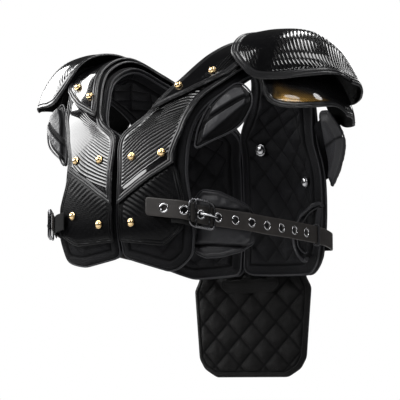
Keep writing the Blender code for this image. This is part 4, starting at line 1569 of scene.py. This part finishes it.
def make_flap():
    """The quilted back flap, its tab and the straps it hangs from."""
    name = "back_flap"
    cloth = upright_surface(FLAP_BACK - FLAP_THICK / 2)
    bed = lay(
        cloth, FLAP_ROWS, 0.159, 0.19, 0.0017, rim=0.010, rim_pitch=0.0009, corner=0.003
    )
    inside = smooth(0.0060, 0.0095, bed.edge)
    pillows = flap_quilt(bed) - 0.75
    roll = 0.55 + 0.45 * smooth(0.0, 0.005, bed.edge) - 0.30 * groove(bed.edge - 0.0066, 0.0016)
    coarse = lay(cloth, FLAP_ROWS, 0.159, 0.19, CLOTH_PITCH, corner=0.003)
    seams = smooth(0.50, 0.20, flap_quilt(coarse)) * smooth(0.004, 0.008, coarse.edge)
    held = np.maximum(seams, smooth(0.009, 0.006, coarse.edge))
    belly = puffed(bed, coarse, 0.0040, -0.0040, held, FLAP_BELLY)
    half = FLAP_THICK / 2 * roll + inside * (0.0034 * (pillows + 0.1) + belly)
    # Painted shade: the quilting's seams and the groove inside the border are darkened in the
    # cloth.
    seams = inside * smooth(0.52, 0.20, pillows + 0.75)
    marks = {"sunk_painted_shade": np.maximum(seams, groove(bed.edge - 0.0066, 0.0012))}
    flap = make_slab(name, bed, 1, half, -half, 0.0012, facets=70, marks=marks)
    dress(flap, "quilted_flap")
    flap = piped(name, flap, bed, 1, (0.0,))
    settle(flap, [name])

    front = upright_surface(FLAP_BACK - FLAP_THICK - GAP - TAB_HALF)
    bed = lay(front, TAB_ROWS, 0.021, 0.10, 0.0012, rim=0.003, rim_pitch=0.0007, corner=0.004)
    outer = TAB_HALF + stepped(SHELL_RIM, bed.edge) * 0.6
    make_plate("flap_tab", "quilted_flap", bed, 1, outer, -TAB_HALF, 60)

    for side_name, side in SIDES:
        plate = spot(12.15, 0.28, LOWER_FACE + 0.0045)[0]
        hem = spot(12.42, 0.28, LOWER_FACE + 0.0055)[0]
        behind = FLAP_BACK + 0.0035
        path = [(plate[0], behind, height) for height in (-0.325, -0.290, -0.257)]
        path += [(plate[0], hem[1], hem[2]), tuple(plate)]
        name = f"flap_strap_{side_name}"
        strap = make_strap(
            name, "webbing", np.array(path), 0.025, 0.0020, side, 0.13, edge=(1, 0, 0)
        )
        settle(strap, [name])


def make_links():
    """The straps that join the halves behind the breast and over the spine."""
    for name, along, lift in LINKS:
        left = [spot(along, across, lift)[0] for across in LINK_ACROSS]
        path = np.array(left + [on_side(point, -1) for point in reversed(left)])
        if name == "breast_link":
            path = path[::-1]
        strap = make_strap(name, "webbing", path, 0.030, 0.0025, 1, 0.06)
        settle(strap, [name])


# ---------------------------------------------------------------------- stage
CAMERA_ANGLES = (34.244, -5.107, 0.175)  # turn, rise and roll, in degrees
CAMERA_FAR = 2.2917
CAMERA_AIM = (0.0, -0.03, -0.225)
CAMERA_LENS = 148.5
CAMERA_SHIFT = (0.0663, 0.0858)
FLOOR_RADIUS = 3.0
SURROUND_LIGHT = 0.03  # how strongly the white surround lights the pads

# A light is its name, its place, what it points at, its width, height and power.
SIDE = (0.20, -0.05, 0.0)
LOW_SIDE = (0.20, -0.05, -0.06)
LIGHTS = (
    ("side_softbox", (-1.51, -0.89, 0.77), (-0.12, -0.15, -0.10), 1.85, 1.0, 62.0),
    ("rear_softbox", (-1.84, 0.50, 0.62), (-0.25, 0.02, -0.02), 1.05, 0.85, 24.0),
    ("high_softbox", (-1.39, 0.36, 1.24), (-0.12, -0.05, 0.0), 0.5, 0.20, 3.2),
    ("front_softbox", (-0.70, -1.35, 1.12), (0.05, -0.10, -0.10), 1.15, 0.85, 27.0),
    ("brow_softbox", (-0.14, -1.12, 1.575), (0.15, -0.10, 0.0), 0.20, 1.05, 7.6),
    ("low_softbox", (-0.75, -1.63, 0.355), (0.05, -0.13, -0.10), 0.36, 0.26, 3.6),
    ("back_softbox", (-0.10, 2.00, 0.80), (0.10, 0.0, -0.05), 0.9, 0.5, 7.0),
    ("strip_back", (-0.04, 0.80, 1.45), SIDE, 0.24, 0.95, 9.0),
    ("strip_side", (0.62, 1.21, 1.07), SIDE, 0.8, 0.14, 3.6),
    ("strip_rear", (0.66, 0.15, 1.62), SIDE, 1.0, 0.20, 8.8),
    ("strip_middle", (1.13, -0.13, 1.41), SIDE, 1.3, 0.26, 11.0),
    ("strip_front", (1.25, -0.62, 1.02), SIDE, 0.8, 0.20, 7.0),
    ("strip_low", (1.32, -1.24, 0.43), SIDE, 0.32, 0.16, 2.4),
    ("lamp_inner", (1.75, -0.77, 0.50), LOW_SIDE, 0.12, 0.16, 0.9),
    ("lamp_outer", (1.82, -0.22, 0.72), LOW_SIDE, 0.26, 0.34, 4.0),
    ("lamp_low", (1.78, -0.86, 0.34), LOW_SIDE, 0.30, 0.13, 2.6),
)


def make_floor():
    """The studio floor."""
    select_only()
    bpy.ops.mesh.primitive_circle_add(
        vertices=96, radius=FLOOR_RADIUS, fill_type="NGON",
        location=(0, 0, -sizes().floor_height),
    )
    floor = bpy.context.object
    floor.name = "floor"
    recipe = Recipe("studio_floor", Roughness=0.9)
    colour = tuple(bpy.context.scene.pads_colours.floor)
    recipe.feed(Base_Color=recipe.colours(recipe.noise(6.0, 2.0), colour, tinted(colour, 1.03)))
    FINISHES["floor"] = recipe.material
    dress(floor, "floor")


def make_surround():
    """A surround that is white to the camera and hardly lights the pads."""
    world = bpy.data.worlds.new("studio")
    bpy.context.scene.world = world
    world.use_nodes = True
    tree = world.node_tree
    white = tree.nodes["Background"]
    dim = tree.nodes.new("ShaderNodeBackground")
    for backdrop, strength in ((white, 1.0), (dim, SURROUND_LIGHT)):
        backdrop.inputs[0].default_value = (1, 1, 1, 1)
        backdrop.inputs[1].default_value = strength
    path = tree.nodes.new("ShaderNodeLightPath")
    mix = tree.nodes.new("ShaderNodeMixShader")
    for output, socket in (
        (path.outputs["Is Camera Ray"], mix.inputs[0]), (dim.outputs[0], mix.inputs[1]),
        (white.outputs[0], mix.inputs[2]), (mix.outputs[0], tree.nodes["World Output"].inputs[0]),
    ):
        tree.links.new(output, socket)


def make_lights():
    """The softboxes, and the lamps whose shine shows in the shells."""
    for name, place, aim, wide, tall, power in LIGHTS:
        light = bpy.data.lights.new(name, "AREA")
        light.shape = "ELLIPSE" if name.startswith("lamp") else "RECTANGLE"
        light.size = wide
        light.size_y = tall
        light.energy = power
        lamp = bpy.data.objects.new(name, light)
        lamp.location = place
        lamp.rotation_euler = (Vector(aim) - Vector(place)).to_track_quat("-Z", "Y").to_euler()
        bpy.context.scene.collection.objects.link(lamp)


def make_camera():
    """The camera, turned about its aim."""
    scene = bpy.context.scene
    turn, rise, roll = (math.radians(angle) for angle in CAMERA_ANGLES)
    back = Vector((
        math.sin(turn) * math.cos(rise), -math.cos(turn) * math.cos(rise), math.sin(rise)
    ))
    right = Vector((math.cos(turn), math.sin(turn), 0))
    up = back.cross(right)
    level = right * math.cos(roll) - up * math.sin(roll)
    upright = up * math.cos(roll) + right * math.sin(roll)
    data = bpy.data.cameras.new("camera")
    data.sensor_width = 36
    data.lens = CAMERA_LENS
    data.shift_x, data.shift_y = CAMERA_SHIFT
    data.clip_start = 0.05
    camera = bpy.data.objects.new("camera", data)
    matrix = Matrix((level, upright, back)).transposed().to_4x4()
    matrix.translation = Vector(CAMERA_AIM) + back * CAMERA_FAR
    camera.matrix_world = matrix
    scene.collection.objects.link(camera)
    scene.camera = camera
    scene.view_settings.view_transform = "Standard"


# ------------------------------------------------------------------ operators
class PadsOperator:
    """What every operator here shares: its finishes, and one turn for each side."""

    bl_options = {"REGISTER", "UNDO"}

    def execute(self, context):
        if not FINISHES:
            make_finishes(context.scene.pads_colours)
        self.build()
        return {"FINISHED"}

    def build(self):
        for side_name, side in SIDES:
            self.build_side(side_name, side)


class PADS_OT_stage(PadsOperator, bpy.types.Operator):
    """Set up the floor, the soft studio light and the camera"""

    bl_idname = "pads.stage"
    bl_label = "Stage"

    def build(self):
        make_floor()
        make_surround()
        make_lights()
        make_camera()


class PADS_OT_padding(PadsOperator, bpy.types.Operator):
    """Make the front and back body pads"""

    bl_idname = "pads.padding"
    bl_label = "Body padding"

    def build_side(self, side_name, side):
        rows = (FRONT_HEM[side],) + FRONT_PAD[1:]
        make_body_pad(f"front_pad_{side_name}", rows, side, 0.41, 0.10, (True, False))
        rows = BACK_PAD if side > 0 else BACK_PAD[:-2] + BACK_PAD_HEM
        make_body_pad(f"back_pad_{side_name}", rows, side, 0.42, 0.15, (False, True))


class PADS_OT_lower_plates(PadsOperator, bpy.types.Operator):
    """Make the chest plates and the back plates"""

    bl_idname = "pads.lower_plates"
    bl_label = "Lower plates"

    def build_side(self, side_name, side):
        make_chest_plate(side_name, side)
        make_back_plate(side_name, side)


class PADS_OT_arch_plates(PadsOperator, bpy.types.Operator):
    """Make the ribbed plates that arch over the shoulders"""

    bl_idname = "pads.arch_plates"
    bl_label = "Arch plates"

    def build_side(self, side_name, side):
        make_arch_plate(side_name, side)


class PADS_OT_epaulettes(PadsOperator, bpy.types.Operator):
    """Make the epaulettes"""

    bl_idname = "pads.epaulettes"
    bl_label = "Epaulettes"

    def build_side(self, side_name, side):
        make_epaulette(side_name, side)


class PADS_OT_caps(PadsOperator, bpy.types.Operator):
    """Make the shoulder caps and the caps under them"""

    bl_idname = "pads.caps"
    bl_label = "Caps"

    def build_side(self, side_name, side):
        whole, slope = (WHOLE_DOME, 4.4) if side > 0 else (CAP_RIGHT, -3.6)
        make_cap(f"cap_{side_name}", CAP, whole, side, 0.26, 0.17, slope, 0.155, 1.0, 0.0)
        whole = WHOLE_DOME if side > 0 else UNDER_CAP_RIGHT
        name = f"under_cap_{side_name}"
        make_cap(name, UNDER_CAP, whole, side, 0.24, 0.15, -5.0, 0.075, 0.0, 0.95)


class PADS_OT_limb_pads(PadsOperator, bpy.types.Operator):
    """Make the deltoid pads and the rib pads"""

    bl_idname = "pads.limb_pads"
    bl_label = "Limb pads"

    def build_side(self, side_name, side):
        foot = DELTOID_FOOT[side]
        for name, surface, rows, length, width, panels in (
            ("deltoid_front", stations_surface(DELTOID_FRONT), ((foot, 0, foot, 1), (4, 0, 4, 1)),
             0.12, 0.06, front_panels),
            ("deltoid_rear", stations_surface(DELTOID_REAR), ((0, 0, 0, 1), (4, 0, 4, 1)),
             0.12, 0.045, rear_panels),
            ("rib_pad", wall_surface(RIB_PLAN), RIB_PAD if side > 0 else RIB_PAD[2:],
             0.09, 0.10, rib_panels),
        ):
            make_limb_pad(f"{name}_{side_name}", surface, rows, side, length, width, panels)


class PADS_OT_gussets(PadsOperator, bpy.types.Operator):
    """Make the cloth gussets that tie the rear deltoid pads to the back pads"""

    bl_idname = "pads.gussets"
    bl_label = "Gussets"

    def build_side(self, side_name, side):
        make_gusset(side_name, side)


class PADS_OT_belts(PadsOperator, bpy.types.Operator):
    """Make the side belts with their eyelets, buckles, keepers and anchor straps"""

    bl_idname = "pads.belts"
    bl_label = "Belts"

    def build_side(self, side_name, side):
        make_belt(side_name, side)
        make_slot_trim(side_name, side)

    def build(self):
        super().build()
        make_slot_roll(*SIDES[0])


class PADS_OT_studs(PadsOperator, bpy.types.Operator):
    """Make the gold rivets and the liner's snaps"""

    bl_idname = "pads.studs"
    bl_label = "Rivets and snaps"

    def build_side(self, side_name, side):
        for name, *place, lift in RIVETS:
            centre, outward = spot(*place, lift + GAP)
            make_stud(
                f"{name}_{side_name}", "gold_rivet", "gold_rivet", on_side(centre, side),
                on_side(outward, side), *RIVET,
            )

    def build(self):
        super().build()
        for name, *place, lift in SNAPS:
            centre, outward = spot(*place, lift)
            make_stud(f"{name}_left", "dark_chrome", "snap_metal", centre, -outward, *SNAP)


class PADS_OT_flap(PadsOperator, bpy.types.Operator):
    """Make the back flap with its tab and straps"""

    bl_idname = "pads.flap"
    bl_label = "Back flap"

    def build(self):
        make_flap()


class PADS_OT_links(PadsOperator, bpy.types.Operator):
    """Make the straps that join the two halves"""

    bl_idname = "pads.links"
    bl_label = "Links"

    def build(self):
        make_links()


OPERATORS = (
    PADS_OT_stage, PADS_OT_padding, PADS_OT_lower_plates, PADS_OT_arch_plates,
    PADS_OT_epaulettes, PADS_OT_caps, PADS_OT_limb_pads, PADS_OT_gussets, PADS_OT_belts,
    PADS_OT_studs, PADS_OT_flap, PADS_OT_links,
)


class PADS_PT_build(bpy.types.Panel):
    """Lists the steps that build the shoulder pads"""

    bl_idname = "PADS_PT_build"
    bl_label = "Shoulder pads"
    bl_space_type = "VIEW_3D"
    bl_region_type = "UI"
    bl_category = "Shoulder pads"

    def draw(self, context):
        for operator in OPERATORS:
            self.layout.operator(operator.bl_idname)
        for group in (context.scene.pads_sizes, context.scene.pads_colours):
            for name in group.bl_rna.properties.keys():
                if name not in {"rna_type", "name"}:
                    self.layout.prop(group, name)


CLASSES = (PadsSizes, PadsColours, *OPERATORS, PADS_PT_build)


def register():
    for entry in CLASSES:
        bpy.utils.register_class(entry)
    bpy.types.Scene.pads_sizes = bpy.props.PointerProperty(type=PadsSizes)
    bpy.types.Scene.pads_colours = bpy.props.PointerProperty(type=PadsColours)


def unregister():
    del bpy.types.Scene.pads_colours
    del bpy.types.Scene.pads_sizes
    for entry in reversed(CLASSES):
        bpy.utils.unregister_class(entry)


def main():
    register()
    for operator in OPERATORS:
        group, step = operator.bl_idname.split(".")
        getattr(getattr(bpy.ops, group), step)()


if __name__ == "__main__":
    main()
